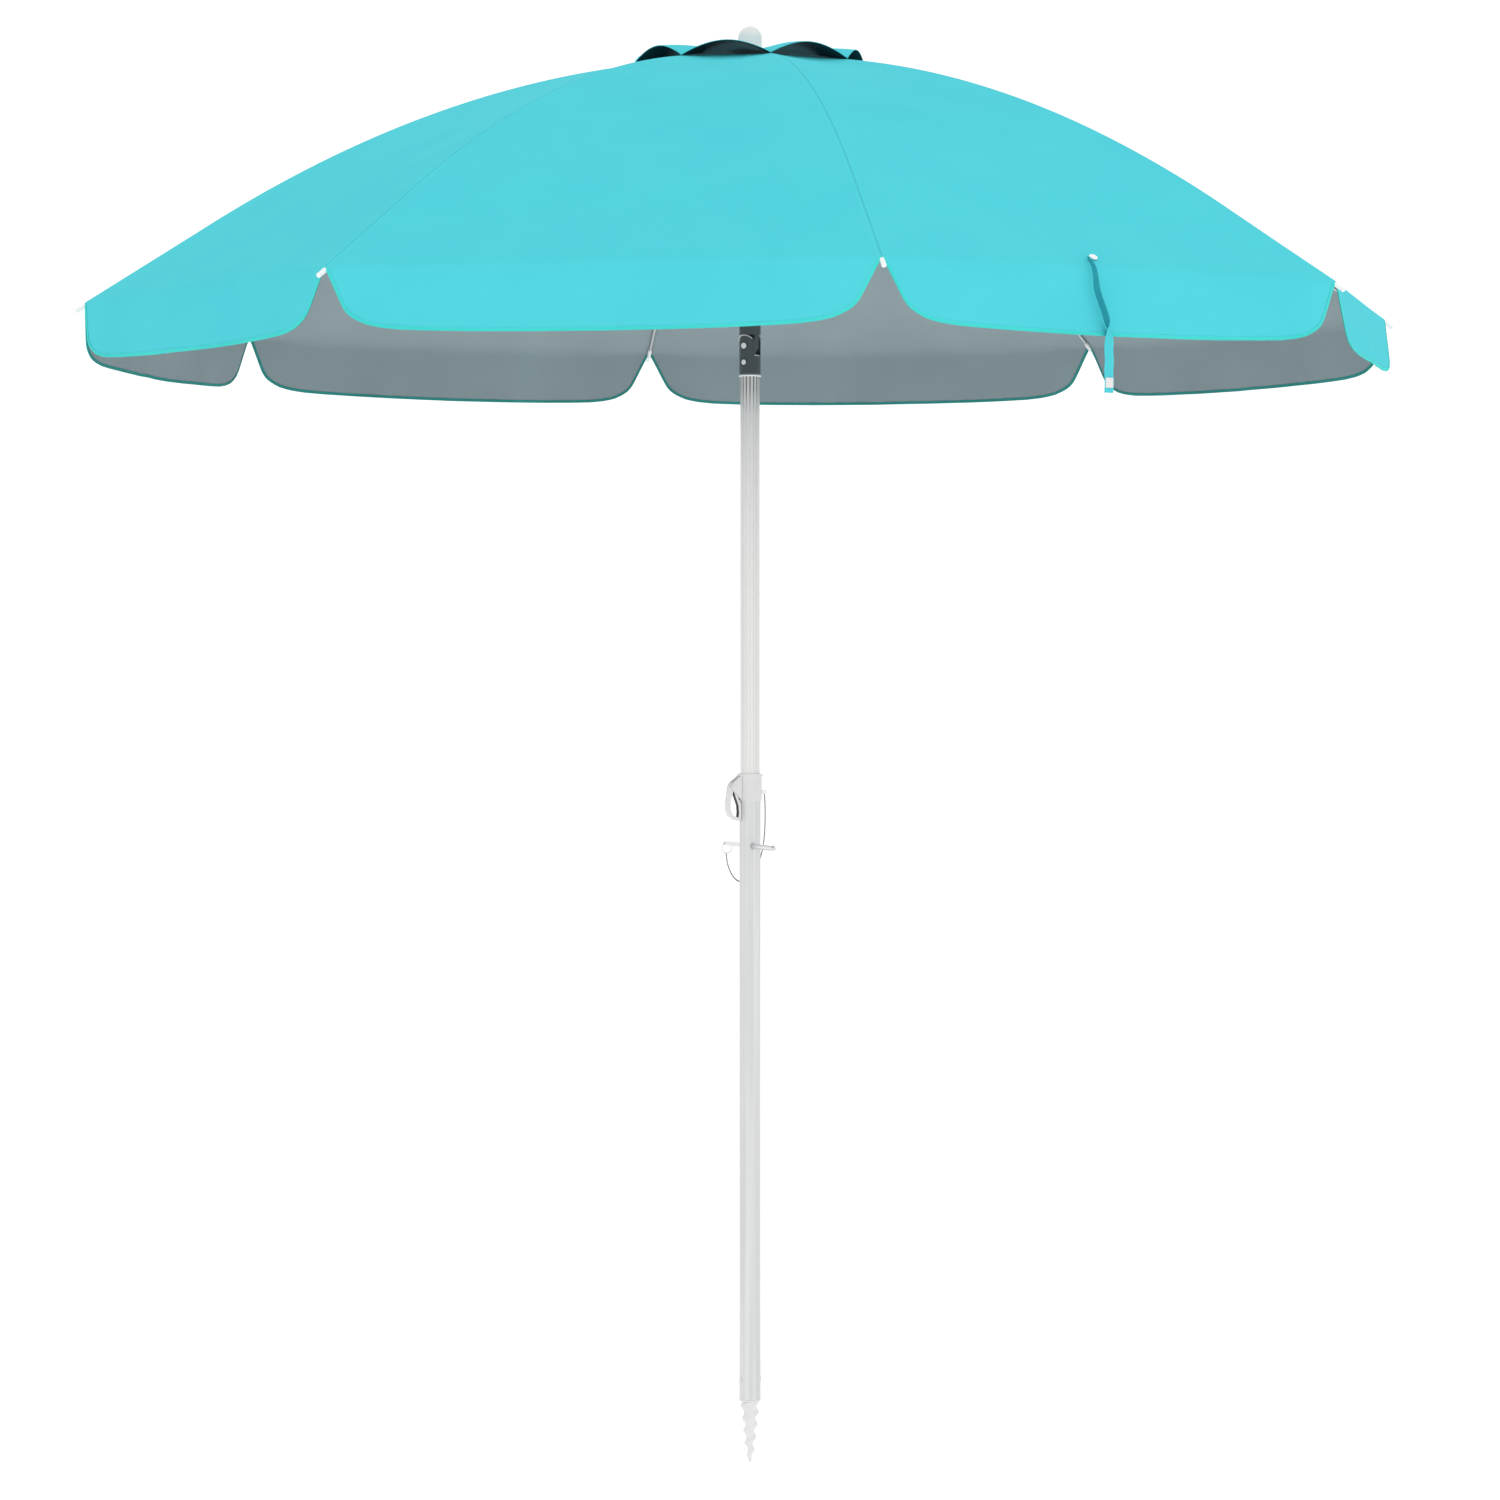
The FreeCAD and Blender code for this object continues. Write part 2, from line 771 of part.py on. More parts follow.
def make_tilt_head():
    """The tongue that turns between the cheeks, under a round block that carries the head tube."""
    block = cylinder(S.tilt_radius, S.head_block_foot, S.head_block_top)
    spigot = cylinder(S.spigot_radius, S.head_block_top - 1, S.head_block_top + S.spigot_length)
    half_tongue = S.tongue_width / 2
    knuckle = radial_cylinder(S.tongue_radius, -half_tongue, half_tongue, S.tilt_height)
    web = DOC.addObject("Part::Box", "Web")
    bind(web, "Length", S.tongue_width)
    bind(web, "Width", S.tongue_radius * 2)
    bind(web, "Height", S.head_block_foot + 1 - S.tilt_height)
    move(web, (-S.tongue_width / 2, -S.tongue_radius, S.tilt_height))
    pin_hole = radial_cylinder(S.tilt_pin_radius, -THROUGH, THROUGH, S.tilt_height)
    piece = cut(fused(block, spigot, knuckle, web), pin_hole)
    finish_node(piece, "tilt_head", TILT_AZIMUTH)


def make_tilt_pin():
    """The pin that the head turns on, with a flat head let into each cheek."""
    reach = S.tilt_pin_reach
    pin = radial_cylinder(S.tilt_pin_radius, -reach, reach, S.tilt_height)
    near = radial_cylinder(S.tilt_pin_head, reach - 1.2, reach, S.tilt_height)
    far = radial_cylinder(S.tilt_pin_head, -reach, 1.2 - reach, S.tilt_height)
    finish_node(fused(pin, near, far), "tilt_pin", TILT_AZIMUTH)


# ---------------------------------------------------------------- crown, finial and runner


def crown_slot():
    outer = S.crown_radius + OVER
    return box(S.crown_slot_floor, outer, S.pivot_slot_width, S.crown_foot - 1, S.crown_top)


def make_crown():
    """A slotted ring with a wire through it that the ribs' eyes turn on, and a hub above."""
    ring = cylinder(S.crown_radius, S.crown_foot, S.crown_top)
    slotted = cut(ring, *at_each_rib(crown_slot))
    hub = cylinder(S.crown_hub_radius, S.crown_top, S.crown_hub_top)
    wire = torus(S.crown_pivot_reach, 1.0, (0, 0, S.crown_pivot_height))
    bore = cylinder(S.fluted_tube_radius, S.crown_foot - 1, S.crown_hub_top + 1)
    finish_node(cut(fused(slotted, hub, wire), bore), "crown")


def make_finial():
    """A low dome on a flange, with a spigot that presses into the head tube."""
    body = new_body("finial")
    profile = new_sketch(body, "XZ_Plane")
    seat = S.crown_hub_top + S.fabric + 0.2
    outline = [
        (0, S.head_tube_top - 22),
        (S.fluted_tube_bore - 0.1, S.head_tube_top - 22),
        (S.fluted_tube_bore - 0.1, seat),
        (S.finial_flange_radius, seat),
        (S.finial_flange_radius, S.finial_flange_top),
        (S.finial_radius, S.finial_flange_top + 1.5),
        (S.finial_radius, S.finial_top - S.dome_rise),
        (0, S.finial_top),
    ]
    rise, half = float(S.dome_rise), float(S.finial_radius)
    dome = (rise * rise + half * half) / (2 * rise)
    add_path(profile, outline, {6: (dome, -1)}, closed=True, on_axis=(6,))
    turned = body.newObject("PartDesign::Revolution", "Revolution")
    turned.Profile = profile
    turned.ReferenceAxis = (profile, ["V_Axis"])
    turned.Angle = 360
    finish_node(body, "finial")


def runner_slot():
    outer, foot, top = S.runner_radius + OVER, S.runner_ring_foot - 1, S.runner_top + 1
    return box(S.crown_slot_floor, outer, S.pivot_slot_width, foot, top)


def make_runner():
    """The slider: a sleeve with a slotted ring, open outwards and downwards for the stretchers."""
    ring = cylinder(S.runner_radius, S.runner_ring_foot, S.runner_top)
    slotted = cut(ring, *at_each_rib(runner_slot))
    sleeve = cylinder(S.runner_sleeve_radius, S.runner_foot, S.runner_ring_foot + 1)
    lip = cylinder(S.runner_sleeve_radius + 2.4, S.runner_foot, S.runner_foot + 4)
    inner = cylinder(S.crown_slot_floor, S.runner_ring_foot, S.runner_top)
    bore = cylinder(S.runner_bore, S.runner_foot - 1, S.runner_top + 1)
    finish_node(cut(fused(slotted, sleeve, lip, inner), bore), "runner")


# ---------------------------------------------------------------- canopy shape


def canopy_height(reach):
    """The height of the canopy's outer face above a rib, out to where the rib runs straight."""
    return S.canopy_top - S.canopy_bend * reach * reach


def radius_through(points):
    """The radius of the circle through three points."""
    (ax, ay), (bx, by), (cx, cy) = [(float(x), float(y)) for x, y in points]
    a = hypot(bx - cx, by - cy)
    b = hypot(ax - cx, ay - cy)
    c = hypot(ax - bx, ay - by)
    area = abs((bx - ax) * (cy - ay) - (cx - ax) * (by - ay)) / 2
    return a * b * c / (4 * area)


def canopy_arc(start, end, spread=1.0):
    """The radius of the canopy's arc between two reaches; spread narrows it to a gore's middle."""
    marks = [start, (start + end) / 2, end]
    return round(radius_through([(r * spread, canopy_height(r)) for r in marks]), 3)


# ---------------------------------------------------------------- ribs and stretchers


def swept_rod(body, radius, points, arcs, slope):
    """A round rod along a path in the X-Z plane, that starts at a slope angle down."""
    path = new_sketch(body, "XZ_Plane")
    add_path(path, points, arcs)
    section = section_sketch(body, points[0][0], points[0][1], slope)
    add_circle(section, radius)
    rod = body.newObject("PartDesign::AdditivePipe", "Rod")
    rod.Profile = section
    rod.Spine = (path, [])
    return rod


def chord_slope(start, end):
    return degrees(atan2(float(start[1] - end[1]), float(end[0] - start[0])))


def half_turn(start, end, radius):
    chord = hypot(float(end[0] - start[0]), float(end[1] - start[1]))
    return degrees(atan2(chord / 2, sqrt(radius * radius - chord * chord / 4)))


def make_rib_inner(number, azimuth):
    """The inner length of a rib, from its eye in the crown to its joint, with a lug below."""
    body = new_body(f"rib_inner_{number}")
    eye = (S.crown_pivot_reach, S.crown_pivot_height)
    end = (S.joint_reach - S.rib_gap, canopy_height(S.joint_reach - S.rib_gap) - S.rib_drop)
    radius = canopy_arc(S.crown_pivot_reach, S.joint_reach)
    slope = chord_slope(eye, end) - half_turn(eye, end, radius)
    swept_rod(body, S.rib_radius, [eye, end], {0: (radius, 1)}, slope)

    eye_side = new_sketch(body, "XZ_Plane")
    add_circle(eye_side, S.rib_eye_radius, eye)
    pad(body, eye_side, S.rib_eye_width, symmetric=True)
    eye_hole = new_sketch(body, "XZ_Plane")
    add_circle(eye_hole, S.rib_eye_hole, eye)
    pocket(body, eye_hole, 12.0, symmetric=True)

    reach, height = S.lug_reach, S.lug_height
    lug_side = new_sketch(body, "XZ_Plane")
    lug = [
        (reach - 9.0, height + 17.0),
        (reach - 3.6, height - 3.6),
        (reach + 3.6, height - 3.6),
        (reach + 7.0, height + 11.5),
    ]
    add_path(lug_side, lug, closed=True)
    pad(body, lug_side, S.lug_width, symmetric=True)
    throat_side = new_sketch(body, "XZ_Plane")
    throat = [
        (reach - 20.0, height - 8.0),
        (reach + 20.0, height - 8.0),
        (reach + 20.0, height + 2.2),
        (reach, height + 9.6),
        (reach - 20.0, height + 17.0),
    ]
    add_path(throat_side, throat, closed=True)
    pocket(body, throat_side, S.lug_throat, symmetric=True)
    pin_side = new_sketch(body, "XZ_Plane")
    add_circle(pin_side, S.lug_pin_radius, (reach, height))
    pad(body, pin_side, 9.0, symmetric=True)
    finish_node(body, body.Name, azimuth)


def make_rib_outer(number, azimuth):
    """The outer length of a rib, from the joint to the rim, with its tip cap."""
    body = new_body(f"rib_outer_{number}")
    start_reach = S.joint_reach + S.rib_gap
    start = (start_reach, canopy_height(start_reach) - S.rib_drop)
    straight_rise = (S.rim_reach - S.straight_reach) * S.straight_slope
    bend_end = (S.straight_reach, S.rim_height - S.rib_drop + straight_rise)
    rim = (S.rim_reach + S.cap_offset, S.rim_height - S.rib_drop - S.straight_slope * S.cap_offset)
    end_slope = degrees(atan(float(S.straight_slope)))
    turn = end_slope - chord_slope(start, bend_end)
    chord = hypot(float(bend_end[0] - start[0]), float(bend_end[1] - start[1]))
    radius = chord / 2 / sin(radians(turn))
    slope = end_slope - 2 * turn
    swept_rod(body, S.rib_radius, [start, bend_end, rim], {0: (round(radius, 4), 1)}, slope)
    cap = section_sketch(body, rim[0], rim[1], end_slope)
    add_circle(cap, S.cap_radius)
    pad(body, cap, S.cap_length)
    finish_node(body, body.Name, azimuth)


def make_stretcher(number, azimuth):
    """The strut from the rib's lug to the runner, with an eye at the lug and one at the runner."""
    body = new_body(f"stretcher_{number}")
    foot = (S.runner_pivot_reach, S.runner_pivot_height)
    head = (S.lug_reach, S.lug_height)
    slope = chord_slope(foot, head)
    length = hypot(float(head[0] - foot[0]), float(head[1] - foot[1]))
    section = section_sketch(body, foot[0], foot[1], slope)
    add_circle(section, S.stretcher_radius)
    pad(body, section, length)
    eyes = ((foot, S.stretcher_foot_eye, 4.4), (head, S.stretcher_head_eye, 4.6))
    for centre, radius, width in eyes:
        side = new_sketch(body, "XZ_Plane")
        add_circle(side, radius, centre)
        pad(body, side, width, symmetric=True)
    hole = new_sketch(body, "XZ_Plane")
    add_circle(hole, S.stretcher_head_hole, head)
    pocket(body, hole, 12.0, symmetric=True)
    finish_node(body, body.Name, azimuth)


# ---------------------------------------------------------------- fabric


def trim_to_sector(body):
    """Cut a gore's two sides along the ribs' planes, half the gap short of each."""
    gap = S.canopy_gap / HALF_COS
    start, end = 80.0, 1000.0
    plan = new_sketch(body, "XY_Plane")
    add_path(
        plan,
        [
            (start, start * HALF_TAN - gap),
            (end, end * HALF_TAN - gap),
            (end, 460.0),
            (start, 460.0),
        ],
        closed=True,
    )
    side_cut = pocket(body, plan, reversed_way=True)
    return mirrored(body, side_cut)


def make_gore_inner(number, azimuth):
    """The inner panel of a gore, from the vent to the line between the ribs' joints."""
    body = new_body(f"gore_inner_{number}")
    start = (S.vent_reach * HALF_COS, canopy_height(S.vent_reach))
    split = S.joint_reach - S.canopy_gap
    end = (split * HALF_COS, canopy_height(split))
    radius = canopy_arc(S.vent_reach, S.joint_reach, HALF_COS)
    strip = new_sketch(body, "XZ_Plane")
    outline = [start, end, (end[0], end[1] - S.fabric), (start[0], start[1] - S.fabric)]
    add_path(strip, outline, {0: (radius, 1), 2: (radius, -1)}, closed=True)
    pad(body, strip, 400.0, symmetric=True)
    trim_to_sector(body)
    finish_node(body, body.Name, azimuth)


def make_gore_outer(number, azimuth):
    """The outer panel of a gore, with the valance that hangs from its straight rim."""
    body = new_body(f"gore_outer_{number}")
    split = S.joint_reach + S.canopy_gap
    start = (split * HALF_COS, canopy_height(split))
    straight_foot = S.rim_height + (S.rim_reach - S.straight_reach) * S.straight_slope
    bend = (S.straight_reach * HALF_COS, straight_foot)
    rim = (S.rim_reach * HALF_COS, S.rim_height)
    flare = tan(radians(float(S.valance_flare)))
    hem = (rim[0] + S.valance_depth * flare, rim[1] - S.valance_depth)
    middle = (split + S.straight_reach) / 2
    marks = [start, (middle * HALF_COS, canopy_height(middle)), bend]
    radius = round(radius_through(marks), 3)
    outline = [
        start,
        bend,
        rim,
        hem,
        (hem[0] - S.fabric, hem[1]),
        (rim[0] - S.fabric, rim[1] - 0.5),
        (bend[0], bend[1] - S.fabric),
        (start[0], start[1] - S.fabric),
    ]
    strip = new_sketch(body, "XZ_Plane")
    add_path(strip, outline, {0: (radius, 1), 6: (radius, -1)}, closed=True)
    pad(body, strip, 800.0, symmetric=True)
    trim_to_sector(body)

    half = S.rim_reach * HALF_TAN * HALF_COS
    scallop = [
        (half - 7.0, S.rim_height - 1.2),
        (half - 28.0, S.rim_height - 52.0),
        (half - 45.0, S.rim_height - 65.0),
        (half - 66.0, S.rim_height - 70.5),
        (half - 184.0, S.rim_height - 79.0),
        (half - 320.0, S.rim_height - 88.0),
        (half - 320.0, S.rim_height - 120.0),
        (half + 40.0, S.rim_height - 120.0),
        (half + 40.0, S.rim_height - 1.2),
    ]
    front = new_sketch(body, "YZ_Plane")
    add_path(front, scallop, closed=True)
    corner = pocket(body, front, reversed_way=True)
    mirrored(body, corner)
    finish_node(body, body.Name, azimuth)


def make_vent_cap():
    """The small cap over the vent: tacked down at the ribs, lifted between them."""
    per_gore = 4
    count = RIBS * per_gore
    first = radians(FIRST_RIB - 90)
    thick = V(0, 0, float(S.fabric))
    seat = float(S.crown_hub_top)

    def ring(reach_at, height_at):
        points = []
        for step in range(count):
            angle = first + 2 * pi * step / count
            lift = sin(pi * (step % per_gore) / per_gore) ** 2
            reach = reach_at(lift)
            points.append(V(reach * cos(angle), reach * sin(angle), height_at(lift)))
        return points

    bore = float(S.fluted_tube_radius) - 0.3
    flange = float(S.finial_flange_radius)
    reach, middle = float(S.vent_cap_reach), float(S.vent_cap_middle_reach)
    tack, rise = float(S.vent_cap_tack_height), float(S.vent_cap_rise)
    rings = [
        ring(lambda lift: bore, lambda lift: seat),
        ring(lambda lift: flange, lambda lift: seat),
        ring(lambda lift: reach + (middle - reach) * lift, lambda lift: tack + rise * lift),
    ]
    faces = []

    def add_face(*corners):
        faces.append(Part.Face(Part.makePolygon(list(corners) + [corners[0]])))

    for i in range(count):
        j = (i + 1) % count
        for inner, outer in zip(rings, rings[1:]):
            for lift in (V(), thick):
                a, b, c, d = [p + lift for p in (inner[i], outer[i], outer[j], inner[j])]
                add_face(a, b, c)
                add_face(a, c, d)
        for edge in (rings[0], rings[-1]):
            add_face(edge[i], edge[j], edge[j] + thick, edge[i] + thick)
    shell = Part.Shell(faces)
    solid = Part.Solid(shell)
    solid.fix(1e-6, 1e-6, 1e-4)
    if solid.Volume < 0:
        solid.reverse()
    piece = DOC.addObject("Part::Feature", "VentCap")
    piece.Shape = solid
    finish_node(piece, "vent_cap")


def make_tie_strap(azimuth):
    """The strap that ties the folded canopy: it lies over the rim and hangs from a round button."""
    body = new_body("StrapBand")
    flare = tan(radians(float(S.valance_flare)))
    slope = S.straight_slope / HALF_COS
    rim_reach = S.rim_reach * HALF_COS
    off = S.strap_stand_off
    top = S.strap_reach
    top_height = S.rim_height + (rim_reach - top) * slope + off * 1.4
    rim = (rim_reach + off, S.rim_height + off)
    hem = (rim[0] + S.valance_depth * flare, S.rim_height - S.valance_depth)
    thick = S.strap_fabric
    outline = [
        (top - 8.0, top_height + 8.0 * slope),
        rim,
        hem,
        (hem[0], S.strap_end_height),
        (hem[0] + thick, S.strap_end_height),
        (hem[0] + thick, hem[1]),
        (rim[0] + thick, rim[1] + thick * 0.7),
        (top - 8.0, top_height + 8.0 * slope + thick * 1.25),
    ]
    side = new_sketch(body, "XZ_Plane")
    add_path(side, outline, closed=True)
    pad(body, side, S.strap_width, symmetric=True)
    button = DOC.addObject("Part::Cylinder", "Button")
    bind(button, "Radius", S.strap_button_radius)
    button.Height = 3.0
    tilt = Turn(V(0, 1, 0), degrees(atan(float(slope))))
    move(button, (top, 0, top_height), tilt)
    piece = fused(body, button)
    finish_node(piece, "tie_strap", azimuth)


# ---------------------------------------------------------------- assembly


def build():
    make_lower_pole()
    make_sand_anchor()
    make_anchor_rivet()
    make_clamp_collar()
    make_collar_hardware()
    make_clamp_lever()
    make_t_bar()
    make_split_ring()
    make_chain()
    make_fluted_tube("upper_pole", S.upper_tube_foot, S.upper_tube_top)
    make_tilt_base()
    make_tilt_button()
    make_tilt_head()
    make_tilt_pin()
    make_fluted_tube("head_pole", S.head_block_top, S.head_tube_top)
    make_crown()
    make_finial()
    make_runner()
    make_vent_cap()
    for number in range(RIBS):
        rib_azimuth = FIRST_RIB + SECTOR * number
        gore_azimuth = rib_azimuth + SECTOR / 2
        make_rib_inner(number, rib_azimuth)
        make_rib_outer(number, rib_azimuth)
        make_stretcher(number, rib_azimuth)
        make_gore_inner(number, gore_azimuth)
        make_gore_outer(number, gore_azimuth)
    make_tie_strap(STRAP_AZIMUTH)


def check_and_export():
    DOC.recompute()
    for piece in DOC.Objects:
        if "Invalid" in piece.State or "Error" in piece.State:
            raise RuntimeError(f"{piece.Name} ({piece.Label}) failed: {piece.State}")
    for piece in NODES:
        shape = piece.Shape
        if shape.isNull() or not shape.isValid() or not shape.Solids:
            raise RuntimeError(f"{piece.Label} has no valid solid")
    os.makedirs("parts", exist_ok=True)
    for piece in NODES:
        piece.Shape.exportStep(f"parts/{piece.Label}.step")
    print(f"{len(NODES)} sub-parts written")


build()
check_and_export()
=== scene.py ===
"""The open beach umbrella: cloth, chain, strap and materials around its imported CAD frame."""

from math import atan, ceil, cos, hypot, pi, radians, sin, sqrt, tan

import bpy
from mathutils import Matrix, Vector, noise


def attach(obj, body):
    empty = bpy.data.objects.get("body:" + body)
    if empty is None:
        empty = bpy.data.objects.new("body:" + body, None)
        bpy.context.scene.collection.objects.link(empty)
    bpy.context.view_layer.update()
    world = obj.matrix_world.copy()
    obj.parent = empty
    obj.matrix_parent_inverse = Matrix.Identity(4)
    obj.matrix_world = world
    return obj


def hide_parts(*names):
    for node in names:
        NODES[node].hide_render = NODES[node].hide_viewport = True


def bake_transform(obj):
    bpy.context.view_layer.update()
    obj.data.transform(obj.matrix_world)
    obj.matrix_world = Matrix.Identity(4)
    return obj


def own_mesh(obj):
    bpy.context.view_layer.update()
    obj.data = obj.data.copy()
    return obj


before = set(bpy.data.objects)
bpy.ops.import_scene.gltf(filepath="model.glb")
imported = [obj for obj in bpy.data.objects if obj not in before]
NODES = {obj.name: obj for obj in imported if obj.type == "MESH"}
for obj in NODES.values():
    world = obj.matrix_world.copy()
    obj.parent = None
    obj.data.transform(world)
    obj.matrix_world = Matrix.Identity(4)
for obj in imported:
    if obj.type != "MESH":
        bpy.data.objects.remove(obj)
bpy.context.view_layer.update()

# ---- sizes, in metres

RIBS = 8
SECTOR = 360 / RIBS
FIRST_RIB = 10
HALF_TAN = tan(radians(SECTOR / 2))
HALF_COS = cos(radians(SECTOR / 2))
CLAMP_AZIMUTH = -67
TILT_AZIMUTH = -36

# the canopy: a parabola from the crown out to STRAIGHT_REACH, then straight to the rim
CANOPY_TOP = 2.130
CANOPY_BEND = 0.395
VENT_REACH = 0.125
JOINT_REACH = 0.470
STRAIGHT_REACH = 0.830
STRAIGHT_SLOPE = 0.64
RIM_REACH = 1.0
RIM_HEIGHT = 1.749
RIB_DROP = 0.005
CLOTH = 0.0009
FLARE = radians(9)

RIM_U = RIM_REACH * HALF_COS
RIM_HALF = RIM_U * HALF_TAN
CANOPY_SLOPE = atan(STRAIGHT_SLOPE / HALF_COS)
RIM_TURN = pi / 2 - FLARE - CANOPY_SLOPE

# the grooves of the upper tube, and the heights over which the shade above darkens them
FLUTE_FLOOR, FLUTE_LAND = 0.01435, 0.01475
FLUTE_FADE = 1.592, 1.632


# ---- directions and meshes


def outwards(azimuth):
    """The level direction at an azimuth, counted from the front towards the right."""
    return Vector((sin(radians(azimuth)), -cos(radians(azimuth)), 0))


def around(azimuth):
    """The level direction square to outwards, the way that azimuths grow."""
    return Vector((cos(radians(azimuth)), sin(radians(azimuth)), 0))


def in_sector(azimuth, u, v, z):
    """A point u outwards and v around from an azimuth's plane, at height z."""
    return outwards(azimuth) * u + around(azimuth) * v + Vector((0, 0, z))


def ease(value):
    t = min(1, max(0, value))
    return t * t * (3 - 2 * t)


def new_mesh(name, points, faces, materials, face_slots=None, smooth=True):
    mesh = bpy.data.meshes.new(name)
    mesh.from_pydata([tuple(p) for p in points], [], faces)
    for material in materials:
        mesh.materials.append(material)
    if face_slots:
        mesh.polygons.foreach_set("material_index", face_slots)
    mesh.polygons.foreach_set("use_smooth", [smooth] * len(mesh.polygons))
    mesh.validate()
    mesh.update()
    piece = bpy.data.objects.new(name, mesh)
    bpy.context.scene.collection.objects.link(piece)
    return piece


def sharpen(piece, degrees=35):
    """Smooth shading that keeps edges sharper than an angle crisp."""
    piece.data.set_sharp_from_angle(angle=radians(degrees))
    return piece


def add_uv(piece, name, values):
    """A UV layer from one pair of numbers for each vertex."""
    layer = piece.data.uv_layers.new(name=name)
    for loop in piece.data.loops:
        layer.data[loop.index].uv = values[loop.vertex_index]


def grid_faces(rows, columns, start=0, flip=False, wrap=False):
    faces = []
    last = columns if wrap else columns - 1
    for i in range(rows - 1):
        for j in range(last):
            k = (j + 1) % columns
            a, b = start + i * columns + j, start + i * columns + k
            c, d = start + (i + 1) * columns + k, start + (i + 1) * columns + j
            faces.append((d, c, b, a) if flip else (a, b, c, d))
    return faces


def border(rows, columns):
    """The vertex numbers round the edge of a grid, in order."""
    last = (rows - 1) * columns
    loop = list(range(columns))
    loop += [i * columns + columns - 1 for i in range(1, rows)]
    loop += [last + j for j in range(columns - 2, -1, -1)]
    loop += [i * columns for i in range(rows - 2, 0, -1)]
    return loop


def edge_faces(loop, step):
    """Faces that join a border to the same border, step vertices later in the list."""
    return [(b, a, a + step, b + step) for a, b in zip(loop, loop[1:] + loop[:1])]


def lathe(name, profile, material, centre=(0, 0, 0), axis=(0, 0, 1), steps=48):
    """A turned piece from (radius, height) pairs; a radius of 0 closes an end."""
    turn = Vector((0, 0, 1)).rotation_difference(Vector(axis).normalized()).to_matrix()
    points, faces, rings = [], [], []
    for radius, height in profile:
        ring = []
        count = 1 if radius == 0 else steps
        for i in range(count):
            a = 2 * pi * i / steps
            ring.append(len(points))
            local = Vector((radius * cos(a), radius * sin(a), height))
            points.append(Vector(centre) + turn @ local)
        rings.append(ring)
    for low, high in zip(rings, rings[1:]):
        for i in range(steps):
            j = (i + 1) % steps
            a, b = low[i % len(low)], low[j % len(low)]
            c, d = high[j % len(high)], high[i % len(high)]
            faces.append(tuple(dict.fromkeys((a, b, c, d))))
    return sharpen(new_mesh(name, points, faces, [material]))


def frames_along(path):
    """A pair of cross directions at each point of a path, carried along without twist."""
    result, across = [], None
    for i in range(len(path)):
        before, after = path[max(i - 1, 0)], path[min(i + 1, len(path) - 1)]
        way = (after - before).normalized()
        if across is None:
            across = way.cross(Vector((0, 0, 1))).normalized()
        across = (across - way * across.dot(way)).normalized()
        result.append((across, way.cross(across)))
    return result


def tube(name, path, radius, material, sides):
    """A closed round tube along a path."""
    points = []
    for point, (across, rise) in zip(path, frames_along(path)):
        for i in range(sides):
            a = 2 * pi * i / sides
            points.append(point + across * radius * cos(a) + rise * radius * sin(a))
    faces = grid_faces(len(path), sides, wrap=True)
    for ring, point, flip in ((0, path[0], True), (len(path) - 1, path[-1], False)):
        hub = len(points)
        points.append(point)
        for i in range(sides):
            a, b = ring * sides + i, ring * sides + (i + 1) % sides
            faces.append((b, a, hub) if flip else (a, b, hub))
    return sharpen(new_mesh(name, points, faces, [material]), 50)


def joined(name, pieces):
    """One object from several, keeping their materials."""
    bpy.ops.object.select_all(action="DESELECT")
    for piece in pieces:
        piece.select_set(True)
    bpy.context.view_layer.objects.active = pieces[0]
    bpy.ops.object.join()
    pieces[0].name = name
    pieces[0].data.name = name
    return pieces[0]


# ---- materials


class Nodes:
    """A short way to write a material's node tree."""

    def __init__(self, name, **settings):
        self.material = bpy.data.materials.new(name)
        self.material.use_nodes = True
        self.tree = self.material.node_tree
        self.shader = self.tree.nodes["Principled BSDF"]
        for key, value in settings.items():
            self.shader.inputs[key.replace("_", " ")].default_value = value

    def add(self, kind, inputs=None, **settings):
        node = self.tree.nodes.new("ShaderNode" + kind)
        for key, value in settings.items():
            setattr(node, key, value)
        for key, value in (inputs or {}).items():
            self.plug(node.inputs[key], value)
        return node

    def plug(self, socket, value):
        if isinstance(value, bpy.types.NodeSocket):
            self.tree.links.new(value, socket)
        else:
            socket.default_value = value

    def set(self, name, value):
        self.plug(self.shader.inputs[name], value)

    def math(self, operation, *values):
        node = self.add("Math", operation=operation)
        for socket, value in zip(node.inputs, values):
            self.plug(socket, value)
        return node.outputs[0]

    def mix(self, factor, a, b, blend="MIX"):
        node = self.add("Mix", data_type="RGBA", blend_type=blend)
        self.plug(node.inputs[0], factor)
        self.plug(node.inputs[6], a)
        self.plug(node.inputs[7], b)
        return node.outputs[2]

    def place(self, scale=(1, 1, 1)):
        source = self.add("TexCoord").outputs["Object"]
        return self.add("Mapping", {"Vector": source, "Scale": scale}).outputs[0]

    def noise(self, vector, scale, detail=3, roughness=0.5):
        inputs = {"Vector": vector, "Scale": scale, "Detail": detail, "Roughness": roughness}
        return self.add("TexNoise", inputs).outputs[0]

    def spread(self, value, low, high, to_low=0.0, to_high=1.0):
        inputs = {0: value, 1: low, 2: high, 3: to_low, 4: to_high}
        return self.add("MapRange", inputs).outputs[0]

    def bump(self, height, strength, distance, normal=None):
        inputs = {"Height": height, "Strength": strength, "Distance": distance}
        if normal is not None:
            inputs["Normal"] = normal
        return self.add("Bump", inputs).outputs[0]


def colour(red, green, blue):
    """A linear colour from the usual 0 to 255 screen numbers."""

    def linear(value):
        share = value / 255
        return share / 12.92 if share <= 0.04045 else ((share + 0.055) / 1.055) ** 2.4

    return (linear(red), linear(green), linear(blue), 1)


def scaled(base, share):
    """A colour made darker or lighter."""
    return (*(min(1, channel * share) for channel in base[:3]), 1)


STITCH_INSET = 0.0045
STITCH_PITCH = 0.0034


